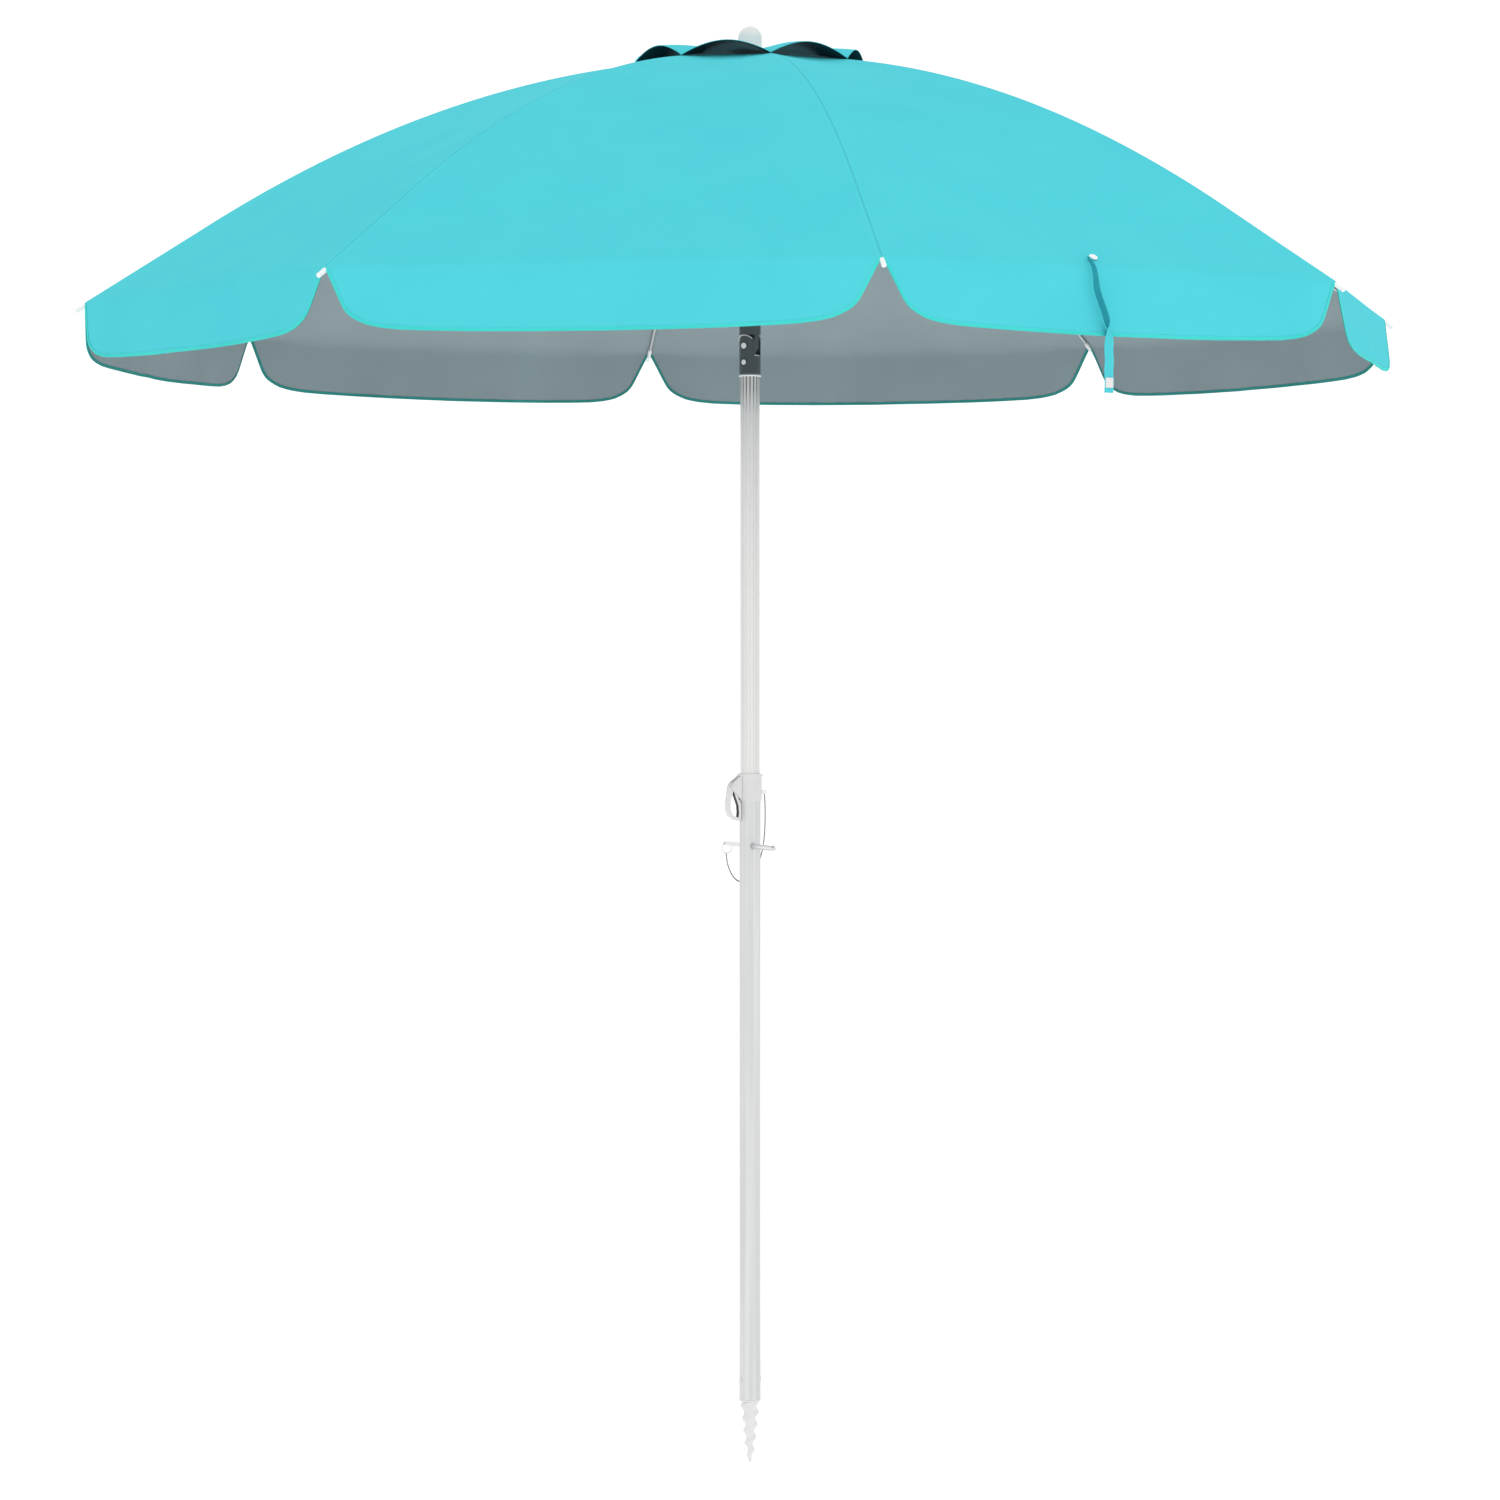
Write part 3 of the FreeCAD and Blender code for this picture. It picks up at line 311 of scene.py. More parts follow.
def woven(name, base, dark, thread, rough, sheen):
    """Plain-weave cloth. Its UV map is in metres, and a second map, Seam, holds the distance
    to the seam or hem and the length along it."""
    n = Nodes(name, Sheen_Weight=sheen, Sheen_Roughness=0.5)
    n.set("Specular IOR Level", 0.04)
    n.set("Sheen Tint", base)
    uv = n.add("UVMap", uv_map="Cloth").outputs[0]
    parts = n.add("SeparateXYZ", {0: uv})
    turns = 2 * pi / (2 * thread)
    warp = n.math("SINE", n.math("MULTIPLY", parts.outputs[0], turns))
    weft = n.math("SINE", n.math("MULTIPLY", parts.outputs[1], turns))
    weave = n.spread(n.math("MULTIPLY", warp, weft), -1, 1)
    uneven = n.noise(n.place(), 9.0, 4)
    slub = n.noise(n.add("Mapping", {"Vector": uv, "Scale": (40, 900, 1)}).outputs[0], 1.0, 2)
    seam_map = n.add("UVMap", uv_map="Seam").outputs[0]
    seam = n.add("SeparateXYZ", {0: seam_map})
    distance, along = seam.outputs[0], seam.outputs[1]
    # a stitched row beside the seam: short threads in a shallow valley
    off_row = n.math("ABSOLUTE", n.math("SUBTRACT", distance, STITCH_INSET))
    row = n.spread(off_row, 0.0004, 0.0009, 1, 0)
    dash = n.spread(n.math("SINE", n.math("MULTIPLY", along, 2 * pi / STITCH_PITCH)), -0.25, 0.15)
    stitch = n.math("MULTIPLY", row, dash)
    # fold is the seam's crease: a dip in the bump, and painted shade darkening the colour along it
    fold = n.spread(distance, 0.0, 0.0016, 1, 0)
    valley = n.spread(off_row, 0.0, 0.0035, 1, 0)
    pucker = n.noise(
        n.add("Mapping", {"Vector": seam_map, "Scale": (30, 120, 1)}).outputs[0], 1.0, 2
    )
    near = n.spread(distance, 0.004, 0.03, 1, 0)
    body = n.mix(n.spread(uneven, 0.3, 0.7), base, dark)
    body = n.mix(n.math("MULTIPLY", weave, 0.10), body, dark)
    # painted shade along the seam's crease
    body = n.mix(n.math("MULTIPLY", fold, 0.42), body, scaled(dark, 0.45))
    body = n.mix(n.math("MULTIPLY", stitch, 0.35), body, scaled(base, 1.5))
    n.set("Base Color", body)
    n.set("Roughness", n.spread(slub, 0.2, 0.8, rough - 0.06, rough + 0.06))
    height = n.math("ADD", n.math("MULTIPLY", weave, 0.35), n.math("MULTIPLY", slub, 0.25))
    first = n.bump(height, 0.25, 0.0003)
    shape = n.math("SUBTRACT", n.math("MULTIPLY", stitch, 0.8), n.math("ADD", valley, fold))
    second = n.bump(shape, 0.5, 0.0006, first)
    n.set("Normal", n.bump(n.math("MULTIPLY", near, pucker), 0.35, 0.003, second))
    return n.material


def moulded(name, base, rough, grain=0.0006, depth=0.12, wear=None):
    """Moulded plastic with a fine grain and slightly uneven gloss."""
    n = Nodes(name)
    n.set("Specular IOR Level", 0.45)
    where = n.place()
    cloud = n.noise(where, 26.0, 3)
    fine = n.noise(where, 1 / grain, 2)
    shade = n.mix(n.spread(cloud, 0.3, 0.75, 0, 0.5), base, wear or scaled(base, 0.86))
    n.set("Base Color", shade)
    n.set("Roughness", n.spread(cloud, 0.25, 0.75, rough - 0.05, rough + 0.08))
    n.set("Normal", n.bump(fine, depth, 0.0002))
    return n.material


def metal(name, base, rough, metallic, stretch, streak, depth, band=0.0, groove=None):
    """Metal or metallic paint, with streaks along the way that it was drawn.

    band adds soft stripes along a tube, painted reflections, and groove paints the canopy's shade
    into the flutes of the upper tube."""
    n = Nodes(name, Metallic=metallic)
    streaks = n.noise(n.place(stretch), streak, 4, 0.6)
    cloud = n.noise(n.place(), 5.0, 3)
    shade = n.mix(n.spread(cloud, 0.3, 0.7, 0, 0.4), base, scaled(base, 0.93))
    # soft stripes along the tube: painted reflections
    if band:
        bands = n.noise(n.place((1, 1, 0.02)), 110.0, 1)
        shade = n.mix(n.spread(bands, 0.36, 0.62), shade, scaled(base, 1 - band))
    # painted shade of the canopy in the flutes, strongest near the top
    if groove:
        spot = n.add("SeparateXYZ", {0: n.add("TexCoord").outputs["Object"]})
        x, y, z = spot.outputs
        squares = n.math("ADD", n.math("MULTIPLY", x, x), n.math("MULTIPLY", y, y))
        deep = n.spread(n.math("SQRT", squares), FLUTE_FLOOR, FLUTE_LAND, 1, 0)
        near_top = n.spread(z, *FLUTE_FADE, 0.05, 0.85)
        shade = n.mix(n.math("MULTIPLY", deep, near_top), shade, groove)
    n.set("Base Color", shade)
    n.set("Roughness", n.spread(streaks, 0.3, 0.7, rough - 0.05, rough + 0.07))
    n.set("Normal", n.bump(streaks, depth, 0.0002))
    return n.material


CLOTH_OUT = woven("canopy_cloth", colour(82, 206, 216), colour(79, 203, 214), 0.00045, 0.85, 0.02)
CLOTH_IN = woven("canopy_lining", colour(145, 161, 166), colour(140, 155, 160), 0.00045, 0.7, 0.04)
# the vent cap's inside: the cloth painted near black, painted shade under the cap
CAP_IN_SHADE = woven("cap_lining_painted_shade", colour(42, 74, 80), colour(34, 60, 66), 0.00045, 0.7, 0.05)
BINDING_OUT = woven("hem_binding", colour(72, 212, 206), colour(64, 204, 199), 0.0006, 0.65, 0.2)
# the binding's inside: the same tape darker, painted shade
BINDING_IN_SHADE = woven(
    "hem_binding_painted_shade", colour(54, 146, 140), colour(46, 134, 129), 0.0006, 0.7, 0.1
)
WEBBING = woven("strap_webbing", colour(84, 204, 213), colour(76, 197, 207), 0.0008, 0.7, 0.1)
# the band's back: the same webbing darker, painted shade
WEBBING_BACK_SHADE = woven("strap_back_painted_shade", colour(60, 166, 179), colour(50, 150, 163), 0.0008, 0.8, 0.05)
WHITE = moulded("white_plastic", colour(227, 226, 225), 0.36)
ANCHOR_WHITE = moulded("anchor_plastic", colour(230, 229, 228), 0.42, 0.001, 0.2)
HUB = moulded("hub_plastic", colour(222, 224, 224), 0.42)
DARK = moulded("dark_plastic", colour(66, 77, 78), 0.42, 0.0007, 0.25, colour(60, 70, 72))
# the band numbers of these two tubes are painted reflection stripes, and FLUTED's groove colour is
# painted shade in its flutes
PAINTED = metal("painted_tube", colour(222, 222, 222), 0.42, 0.2, (1, 1, 0.06), 90, 0.04, 0.12)
FLUTED = metal(
    "fluted_tube", colour(228, 227, 226), 0.3, 0.8, (1, 1, 0.04), 60, 0.02,
    band=0.04, groove=colour(58, 48, 42),
)
BRIGHT = metal("bright_steel", colour(218, 219, 221), 0.14, 1.0, (1, 1, 1), 80, 0.03)
CHAIN_STEEL = metal("chain_steel", colour(96, 98, 100), 0.3, 1.0, (1, 1, 1), 80, 0.03)
RIB = metal("coated_steel", colour(206, 208, 209), 0.36, 0.55, (1, 1, 1), 70, 0.05)
# near-white plastic on the metal pins: a painted glint
RIVET_GLINT = moulded("rivet_painted_glint", colour(236, 237, 237), 0.16, 0.001, 0.05)
# near-black plastic that stands in for shade: painted shade in recesses and holes
RECESS_SHADE = moulded("recess_painted_shade", colour(34, 42, 44), 0.6)
GLAZED = moulded("cap_plastic", colour(240, 242, 242), 0.3)
CLOTH_TIE = moulded("tie_thread", colour(120, 128, 130), 0.8, 0.0004, 0.6)
PATCH = woven("fastener_tape", colour(226, 222, 222), colour(216, 213, 213), 0.0007, 0.8, 0.3)

# ---- camera and chain


def look_camera():
    data = bpy.data.cameras.new("Camera")
    data.sensor_width = 36
    data.lens = 116.5
    data.clip_end = 100
    camera = bpy.data.objects.new("Camera", data)
    camera.location = (0, -7.37, 1.2097)
    camera.rotation_euler = (radians(90 - 0.98), 0, 0)
    bpy.context.scene.collection.objects.link(camera)
    bpy.context.scene.camera = camera


look_camera()

CHAIN_ROUTE = [
    (0.022, 0.002, 1.017), (0.0228, 0.003, 1.003), (0.0232, 0.006, 0.986),
    (0.0228, 0.011, 0.967), (0.0216, 0.018, 0.948), (0.0188, 0.027, 0.930),
    (0.014, 0.038, 0.912), (0.0075, 0.050, 0.897), (-0.0005, 0.062, 0.8865),
    (-0.0095, 0.075, 0.880), (-0.0185, 0.088, 0.880), (-0.0265, 0.099, 0.887),
    (-0.0325, 0.107, 0.8985), (-0.036, 0.1115, 0.9115), (-0.0366, 0.1125, 0.9216),
]
BEAD = 0.0012
BEAD_STEP = 0.0033
LINK_RADIUS = 0.00042
LINK_STEP = 0.0016


def smooth_line(route):
    """Points read from the NURBS curve that a route's points control."""
    curve = bpy.data.curves.new("Route", "CURVE")
    curve.dimensions = "3D"
    spline = curve.splines.new("NURBS")
    spline.points.add(len(route) - 1)
    for place, point in zip(spline.points, route):
        place.co = (*point, 1)
    spline.order_u = 3
    spline.use_endpoint_u = True
    spline.resolution_u = 16
    holder = bpy.data.objects.new("Route", curve)
    bpy.context.scene.collection.objects.link(holder)
    bpy.context.view_layer.update()
    mesh = bpy.data.meshes.new_from_object(holder)
    points = [v.co.copy() for v in mesh.vertices]
    bpy.data.objects.remove(holder)
    bpy.data.meshes.remove(mesh)
    return points


def at_steps(path, step):
    """Points along a path, evenly spaced about a step apart, with the direction at each."""
    lengths = [0]
    for a, b in zip(path, path[1:]):
        lengths.append(lengths[-1] + (b - a).length)
    count = round(lengths[-1] / step)
    found, i = [], 0
    for k in range(count + 1):
        goal = lengths[-1] * k / count
        while i < len(path) - 2 and lengths[i + 1] < goal:
            i += 1
        share = (goal - lengths[i]) / (lengths[i + 1] - lengths[i])
        found.append((path[i].lerp(path[i + 1], share), (path[i + 1] - path[i]).normalized()))
    return found


def make_chain():
    """Steel balls threaded on short wire links, hung from the collar to the cross bar's ring."""
    line = smooth_line(CHAIN_ROUTE)
    points, faces = [], []
    rings, sides = 8, 12
    for centre, way in at_steps(line, BEAD_STEP):
        across = way.cross(Vector((0.3, 0.5, 0.81))).normalized()
        rise = way.cross(across)
        start = len(points)
        for i in range(rings + 1):
            a = pi * i / rings
            for j in range(sides):
                b = 2 * pi * j / sides
                wide = max(sin(a), 0.22)
                ring = (across * cos(b) + rise * sin(b)) * BEAD * wide
                points.append(centre - way * BEAD * cos(a) + ring)
        faces += grid_faces(rings + 1, sides, start, wrap=True)
        faces.append(tuple(start + j for j in reversed(range(sides))))
        faces.append(tuple(start + rings * sides + j for j in range(sides)))
    wire = tube("Link", [p for p, _ in at_steps(line, LINK_STEP)], LINK_RADIUS, CHAIN_STEEL, 8)
    beads = new_mesh("Beads", points, faces, [CHAIN_STEEL])
    chain = joined("ball_chain", [beads, wire])
    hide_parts("chain")
    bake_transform(chain)


make_chain()

# ---- canopy shape


def rib_height(reach):
    """The height of the cloth's outer face over a rib."""
    if reach <= STRAIGHT_REACH:
        return CANOPY_TOP - CANOPY_BEND * reach * reach
    return RIM_HEIGHT + (RIM_REACH - reach) * STRAIGHT_SLOPE


def slope_at(reach):
    return 2 * CANOPY_BEND * reach if reach < STRAIGHT_REACH else STRAIGHT_SLOPE


CANOPY_SAG = 0.007
SEAM_SOFT, SEAM_SOFTER = 0.010, 0.022


def canopy_point(u, v):
    """The height of the cloth's outer face at u outwards and v around from a gore's middle.

    The cloth sags between its ribs and rises softly off each seam, less near rim and vent."""
    reach = u / HALF_COS
    half = u * HALF_TAN
    z = rib_height(reach)
    calm = ease((RIM_REACH - reach) / 0.18) * ease((reach - VENT_REACH) / 0.08)
    share = min(1, abs(v) / half)
    sag = CANOPY_SAG * calm * (1 - share * share)
    soft = SEAM_SOFT + SEAM_SOFTER * calm
    edge = half - abs(v)
    crest = slope_at(reach) * sin(radians(SECTOR / 2)) * (0.35 + 0.65 * calm)
    rise = soft / 2 - (soft - min(edge, soft)) ** 2 / (2 * soft)
    return z - sag + 0.5 * crest * rise * calm


# (distance from the gore's corner, depth of the valance there)
VALANCE_MARKS = [
    (0, 0.0), (0.006, 0.0110), (0.012, 0.0230), (0.018, 0.0355), (0.0235, 0.0465),
    (0.0275, 0.0545), (0.0315, 0.0605), (0.036, 0.0655), (0.042, 0.0700), (0.050, 0.0745),
    (0.062, 0.0795), (0.080, 0.0838), (0.110, 0.0870), (0.150, 0.0888), (0.200, 0.0903),
    (0.280, 0.0918), (RIM_HALF, 0.0925),
]


def valance_depth(corner):
    """How far the valance hangs below the rim, by the distance from the gore's corner."""
    for (a, low), (b, high) in zip(VALANCE_MARKS, VALANCE_MARKS[1:]):
        if corner <= b:
            return low + (high - low) * (corner - a) / (b - a)
    return VALANCE_MARKS[-1][1]


def rim_radius(corner):
    """How softly the cloth turns down at the rim: tight at a rib's tip, wide between ribs."""
    return 0.008 + 0.026 * ease(corner / 0.13)


def rim_point(v, q, wave):
    """The (u, z) of a gore's point at v around and a length q past the rim's crease."""
    radius = rim_radius(RIM_HALF - abs(v))
    half_arc = radius * RIM_TURN / 2
    reach = radius * tan(RIM_TURN / 2)
    along = Vector((cos(CANOPY_SLOPE), -sin(CANOPY_SLOPE)))
    down = Vector((sin(FLARE), -cos(FLARE)))
    start = Vector((RIM_U, RIM_HEIGHT)) - along * reach
    if q <= -half_arc:
        place = start + along * (q + half_arc)
    elif q >= half_arc:
        place = Vector((RIM_U, RIM_HEIGHT)) + down * (reach + q - half_arc)
    else:
        angle = (q + half_arc) / radius
        inward = Vector((-sin(CANOPY_SLOPE), -cos(CANOPY_SLOPE)))
        centre = start + inward * radius
        tilt = CANOPY_SLOPE + angle
        place = centre + Vector((sin(tilt), cos(tilt))) * radius
    swing = ease(q / 0.09)
    return place.x + wave * swing, place.y


def valance_wave(gore, v):
    """Slow waves of the hem, a few millimetres in and out, a little different on each gore."""
    share = v / RIM_HALF
    window = 1 - share * share
    slow = noise.noise(Vector((3.1 * share, gore * 7.3, 0.4)))
    quick = noise.noise(Vector((8.0 * share, gore * 3.7, 5.1)))
    return window * (0.006 * slow + 0.0025 * quick)


def wrinkle(gore, u, v):
    """Faint drag lines that fan out from the ribs' tips, and slow unevenness elsewhere."""
    half = u * HALF_TAN
    share = v / half
    reach = u / HALF_COS
    calm = ease((RIM_U - u) / 0.05) * ease((reach - VENT_REACH) / 0.05) * (1 - share**6)
    lines = noise.noise(Vector((share * 9.0, u * 1.1, gore * 5.0)))
    broad = noise.noise(Vector((u * 5.0, v * 5.0, gore * 9.0)))
    return calm * (0.0008 * lines + 0.0009 * broad)


# distances of the first columns from the seam, and the number of even ones after them
COLUMN_STOPS = (
    0, 0.0018, 0.004, 0.007, 0.0105, 0.0145, 0.019, 0.024, 0.030, 0.037, 0.046, 0.058, 0.074
)
EVEN_COLUMNS = 11


def column_shares():
    """Places across a gore from -1 to 1, close together near its two seams."""
    stops = [1 - d / RIM_HALF for d in COLUMN_STOPS]
    inner = stops[-1]
    stops += [inner * (1 - (i + 1) / EVEN_COLUMNS) for i in range(EVEN_COLUMNS)]
    side = [s for s in stops if s > 1e-9]
    return [-s for s in side] + [0.0] + list(reversed(side))


SHARES = column_shares()


def closed_sheet(name, azimuth, rows, materials, seams):
    """A cloth piece with an outer and an inner face joined at its edge.

    rows is a grid of (u, v, z) on the outer face; seams is a grid of (distance, along)."""
    columns = len(rows[0])
    grid = [[in_sector(azimuth, *p) for p in row] for row in rows]
    count = len(rows) * columns
    points = [p for row in grid for p in row]
    inner = []
    for i, row in enumerate(grid):
        for j, point in enumerate(row):
            up, down = grid[max(i - 1, 0)][j], grid[min(i + 1, len(grid) - 1)][j]
            left, right = row[max(j - 1, 0)], row[min(j + 1, columns - 1)]
            normal = (down - up).cross(right - left)
            if normal.length < 1e-12:
                normal = outwards(azimuth) + Vector((0, 0, 1))
            normal.normalize()
            if normal.dot(outwards(azimuth) + Vector((0, 0, 1))) < 0:
                normal.negate()
            inner.append(point - normal * CLOTH)
    points += inner
    faces = grid_faces(len(rows), columns)
    faces += grid_faces(len(rows), columns, count, flip=True)
    slots = [0] * (len(faces) // 2) + [1] * (len(faces) // 2)
    rim = edge_faces(border(len(rows), columns), count)
    faces += rim
    slots += [0] * len(rim)
    piece = new_mesh(name, points, faces, materials, slots)
    lengths = cloth_lengths(grid)
    add_uv(piece, "Cloth", [lengths[i % count] for i in range(2 * count)])
    flat = [s for row in seams for s in row]
    add_uv(piece, "Seam", [flat[i % count] for i in range(2 * count)])
    face_outwards(piece, grid, azimuth)
    return sharpen(piece, 50)


def face_outwards(piece, grid, azimuth):
    """Turn the whole closed sheet's faces out if its first face looks the wrong way."""
    i, j = len(grid) // 2, len(grid[0]) // 2
    face = piece.data.polygons[i * (len(grid[0]) - 1) + j]
    if face.normal.dot(outwards(azimuth) + Vector((0, 0, 1))) < 0:
        piece.data.flip_normals()


def cloth_lengths(grid):
    """Each point's place on the cloth in metres: across, and down from the first row."""
    columns = len(grid[0])
    middle = columns // 2
    down = [0]
    for above, below in zip(grid, grid[1:]):
        down.append(down[-1] + (below[middle] - above[middle]).length)
    result = []
    for i, row in enumerate(grid):
        across = [0] * columns
        for j in range(middle + 1, columns):
            across[j] = across[j - 1] + (row[j] - row[j - 1]).length
        for j in range(middle - 1, -1, -1):
            across[j] = across[j + 1] - (row[j] - row[j + 1]).length
        result += [(across[j], down[i]) for j in range(columns)]
    return result


# where a gore's inner and outer panels meet, at the hinge of the ribs
SPLIT_U = JOINT_REACH * HALF_COS


def finish_cloth(piece, body):
    """Ride a gore's piece on its body, with a mesh of its own."""
    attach(piece, body)
    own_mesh(piece)


def cloth_point(gore, u, v):
    return u, v, canopy_point(u, v) + wrinkle(gore, u, v)


def inner_rows(gore):
    """The panel from the vent to the ribs' hinge, with each point's place from its seam."""
    rows, seams = [], []
    start = VENT_REACH * HALF_COS
    count = 17
    for i in range(count + 1):
        u = start + (SPLIT_U - start) * i / count
        half = u * HALF_TAN
        rows.append([cloth_point(gore, u, s * half) for s in SHARES])
        seams.append([(half - abs(s * half), u) for s in SHARES])
    return rows, seams


def outer_rows(gore):
    """The panel from the ribs' hinge over the rim, down to the valance's hem."""
    rows, seams = [], []
    body_rows, bend_rows, hang_rows = 26, 9, 9
    for i in range(body_rows):
        share = i / body_rows
        row, seam = [], []
        for s in SHARES:
            radius = rim_radius(RIM_HALF * (1 - abs(s)))
            end = RIM_U - radius * tan(RIM_TURN / 2) * cos(CANOPY_SLOPE)
            u = SPLIT_U + (end - SPLIT_U) * share
            v = s * u * HALF_TAN
            row.append(cloth_point(gore, u, v))
            seam.append((u * HALF_TAN - abs(v), u))
        rows.append(row)
        seams.append(seam)
    for i in range(bend_rows + hang_rows + 1):
        row, seam = [], []
        for s in SHARES:
            v = s * RIM_HALF
            corner = RIM_HALF - abs(v)
            depth = valance_depth(corner)
            half_arc = rim_radius(corner) * RIM_TURN / 2
            bend_end = min(half_arc, depth * 0.5)
            if i <= bend_rows:
                q = -half_arc + (bend_end + half_arc) * i / bend_rows
            else:
                q = bend_end + (depth - bend_end) * (i - bend_rows) / hang_rows
            u, z = rim_point(v, q, valance_wave(gore, v))
            across = v if q > 0 else s * min(u, RIM_U) * HALF_TAN
            row.append((u, across, z))
            seam.append((min(corner + q, depth - q + 0.001) if q > 0 else corner, u))
        rows.append(row)
        seams.append(seam)
    return rows, seams


BINDING_WIDTH, BINDING_THICK = 0.0046, 0.0011
BINDING_LIP = 0.0006
BINDING_STOPS = [
    0.0, 0.0012, 0.003, 0.005, 0.0075, 0.010, 0.013, 0.0165, 0.020, 0.024, 0.028, 0.032,
    0.036, 0.041, 0.046, 0.053, 0.062, 0.073, 0.085, 0.097, 0.110,
]
BINDING_EVEN = 14


def make_binding(gore, azimuth):
    """The folded tape round a gore's hem: a flat band over the valance's edge, both sides."""
    bend = BINDING_STOPS[-1]
    even = [bend + (RIM_HALF - bend) * (i + 1) / BINDING_EVEN for i in range(BINDING_EVEN)]
    line = [(-(RIM_HALF - d), valance_depth(d)) for d in BINDING_STOPS + even]
    line += [(-v, q) for v, q in reversed(line[:-1])]
    profile = [(0.0, 0.0), (BINDING_LIP, 1.0), (0.0030, 1.05)]
    profile += [(BINDING_WIDTH, 1.0), (BINDING_WIDTH, 0.8)]
    section = profile + [(a, -b) for a, b in reversed(profile[1:])]
    points, lengths = [], []
    along = 0

    def at(v, q, lift):
        v = max(-RIM_HALF, min(RIM_HALF, v))
        u, z = rim_point(v, max(q, 0.0), valance_wave(gore, v))
        return in_sector(azimuth, u + lift * cos(FLARE), v, z + lift * sin(FLARE))

    for i, (v, q) in enumerate(line):
        before, after = line[max(i - 1, 0)], line[min(i + 1, len(line) - 1)]
        dv, dq = after[0] - before[0], after[1] - before[1]
        size = hypot(dv, dq)
        nv, nq = dq / size, -dv / size
        if i:
            along += hypot(v - line[i - 1][0], q - line[i - 1][1])
        for inset, side in section:
            shift = inset - BINDING_LIP
            lift = side * BINDING_THICK - CLOTH / 2
            points.append(at(v + nv * shift, q + nq * shift, lift))
            lengths.append((inset, along))
    faces = grid_faces(len(line), len(section), wrap=True)
    faces.append(tuple(reversed(range(len(section)))))
    faces.append(tuple(range(len(points) - len(section), len(points))))
    # the tape's inner side gets its painted shade copy
    slots = []
    for face in faces[:-2]:
        inside = sum(1 for k in face if section[k % len(section)][1] < 0)
        slots.append(1 if inside >= 2 else 0)
    slots += [0, 0]
    piece = new_mesh(f"hem_{gore}", points, faces, [BINDING_OUT, BINDING_IN_SHADE], slots)
    add_uv(piece, "Cloth", lengths)
    add_uv(piece, "Seam", [(STITCH_INSET + abs(a - STITCH_INSET), b) for a, b in lengths])
    return sharpen(piece, 60)


def make_gore(gore):
    """A gore's two panels of cloth, the outer one with its valance and bound hem."""
    azimuth = FIRST_RIB + SECTOR * (gore + 0.5)
    for part, rows_of in (("inner", inner_rows), ("outer", outer_rows)):
        rows, seams = rows_of(gore)
        body = f"gore_{part}_{gore}"
        faces = [CLOTH_OUT, CLOTH_IN]
        piece = closed_sheet(f"cloth_{part}_{gore}", azimuth, rows, faces, seams)
        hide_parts(body)
        finish_cloth(piece, body)
        if part == "outer":
            hem = make_binding(gore, azimuth)
            finish_cloth(hem, body)
        down = cloth_lengths([[Vector(p) for p in row] for row in rows])[-1][1]


# ---- vent cap

CAP_REACH = 0.178
CAP_MIDDLE = 0.166
CAP_TACK = 2.1182
CAP_RISE = 0.0204
CAP_SEAT = 2.1414
CAP_HUB = 0.0265
CAP_START = CAP_HUB * 0.62


def make_vent_petal(gore):
    """One lifted length of the vent cap, between two ribs where its edge is tacked down."""
    azimuth = FIRST_RIB + SECTOR * (gore + 0.5)
    columns, ring_count = 33, 15
    rows, seams = [], []
    for i in range(ring_count + 1):
        row, seam = [], []
        for j in range(columns):
            share = -1 + 2 * j / (columns - 1)
            lift = max(0.0, cos(pi / 2 * share)) ** 0.85
            edge = CAP_REACH + (CAP_MIDDLE - CAP_REACH) * lift
            reach = CAP_START + (edge - CAP_START) * i / ring_count
            line = max(0, (reach - CAP_HUB) / (edge - CAP_HUB))
            tack = CAP_TACK + CLOTH + CAP_RISE * lift
            bow = 0.004 * lift * sin(pi * line)
            z = CAP_SEAT + CLOTH + (tack - CAP_SEAT - CLOTH) * line + bow * ease(line)
            angle = radians(SECTOR / 2) * share
            row.append((reach * cos(angle), reach * sin(angle), z))
            seam.append((min((1 - abs(share)) * reach * 0.39, (edge - reach) + 0.0005), reach))
        rows.append(row)
        seams.append(seam)
    # the inner face gets the cap's painted shade
    piece = closed_sheet(f"vent_cap_{gore}", azimuth, rows, [CLOTH_OUT, CAP_IN_SHADE], seams)
    if gore == 0:
        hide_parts("vent_cap")
    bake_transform(piece)


# ---- ribs


ROD_RADIUS = 0.0025
ROD_START, ROD_STEP = 0.0262, 0.016
CROWN_WIRE_REACH = 0.024
TIE_REACHES = 0.62, 0.80

# profiles of turned pieces: (radius, height) pairs
EYE_PROFILE = [
    (0.0012, -0.0022), (0.0029, -0.0022), (0.0033, -0.0017), (0.0033, 0.0017),
    (0.0029, 0.0022), (0.0012, 0.0022), (0.0012, -0.0022),
]
CAP_PROFILE = [
    (0.0, -0.020), (0.0030, -0.020), (0.0034, -0.0192), (0.0034, 0.0072), (0.0030, 0.0080),
    (0.0032, 0.0092), (0.0036, 0.0106), (0.0035, 0.0122), (0.0027, 0.0134), (0.0014, 0.0140),
    (0.0, 0.0141),
]
TIE_PROFILE = [
    (0.0024, -0.0035), (0.0031, -0.0033), (0.0033, -0.002), (0.0030, -0.001), (0.0033, 0.0),
    (0.0030, 0.001), (0.0033, 0.002), (0.0031, 0.0033), (0.0024, 0.0035),
]
PIN_PROFILE = [
    (0, -0.0052), (0.0018, -0.0052), (0.0022, -0.0047), (0.0022, -0.0041), (0.0013, -0.0040),
    (0.0013, 0.0040), (0.0022, 0.0041), (0.0022, 0.0047), (0.0018, 0.0052), (0, 0.0052),
]
SLEEVE_PROFILE = [
    (0.0025, -0.009), (0.0038, -0.009), (0.0041, -0.0086), (0.0041, 0.0086), (0.0038, 0.009),
    (0.0025, 0.009),
]


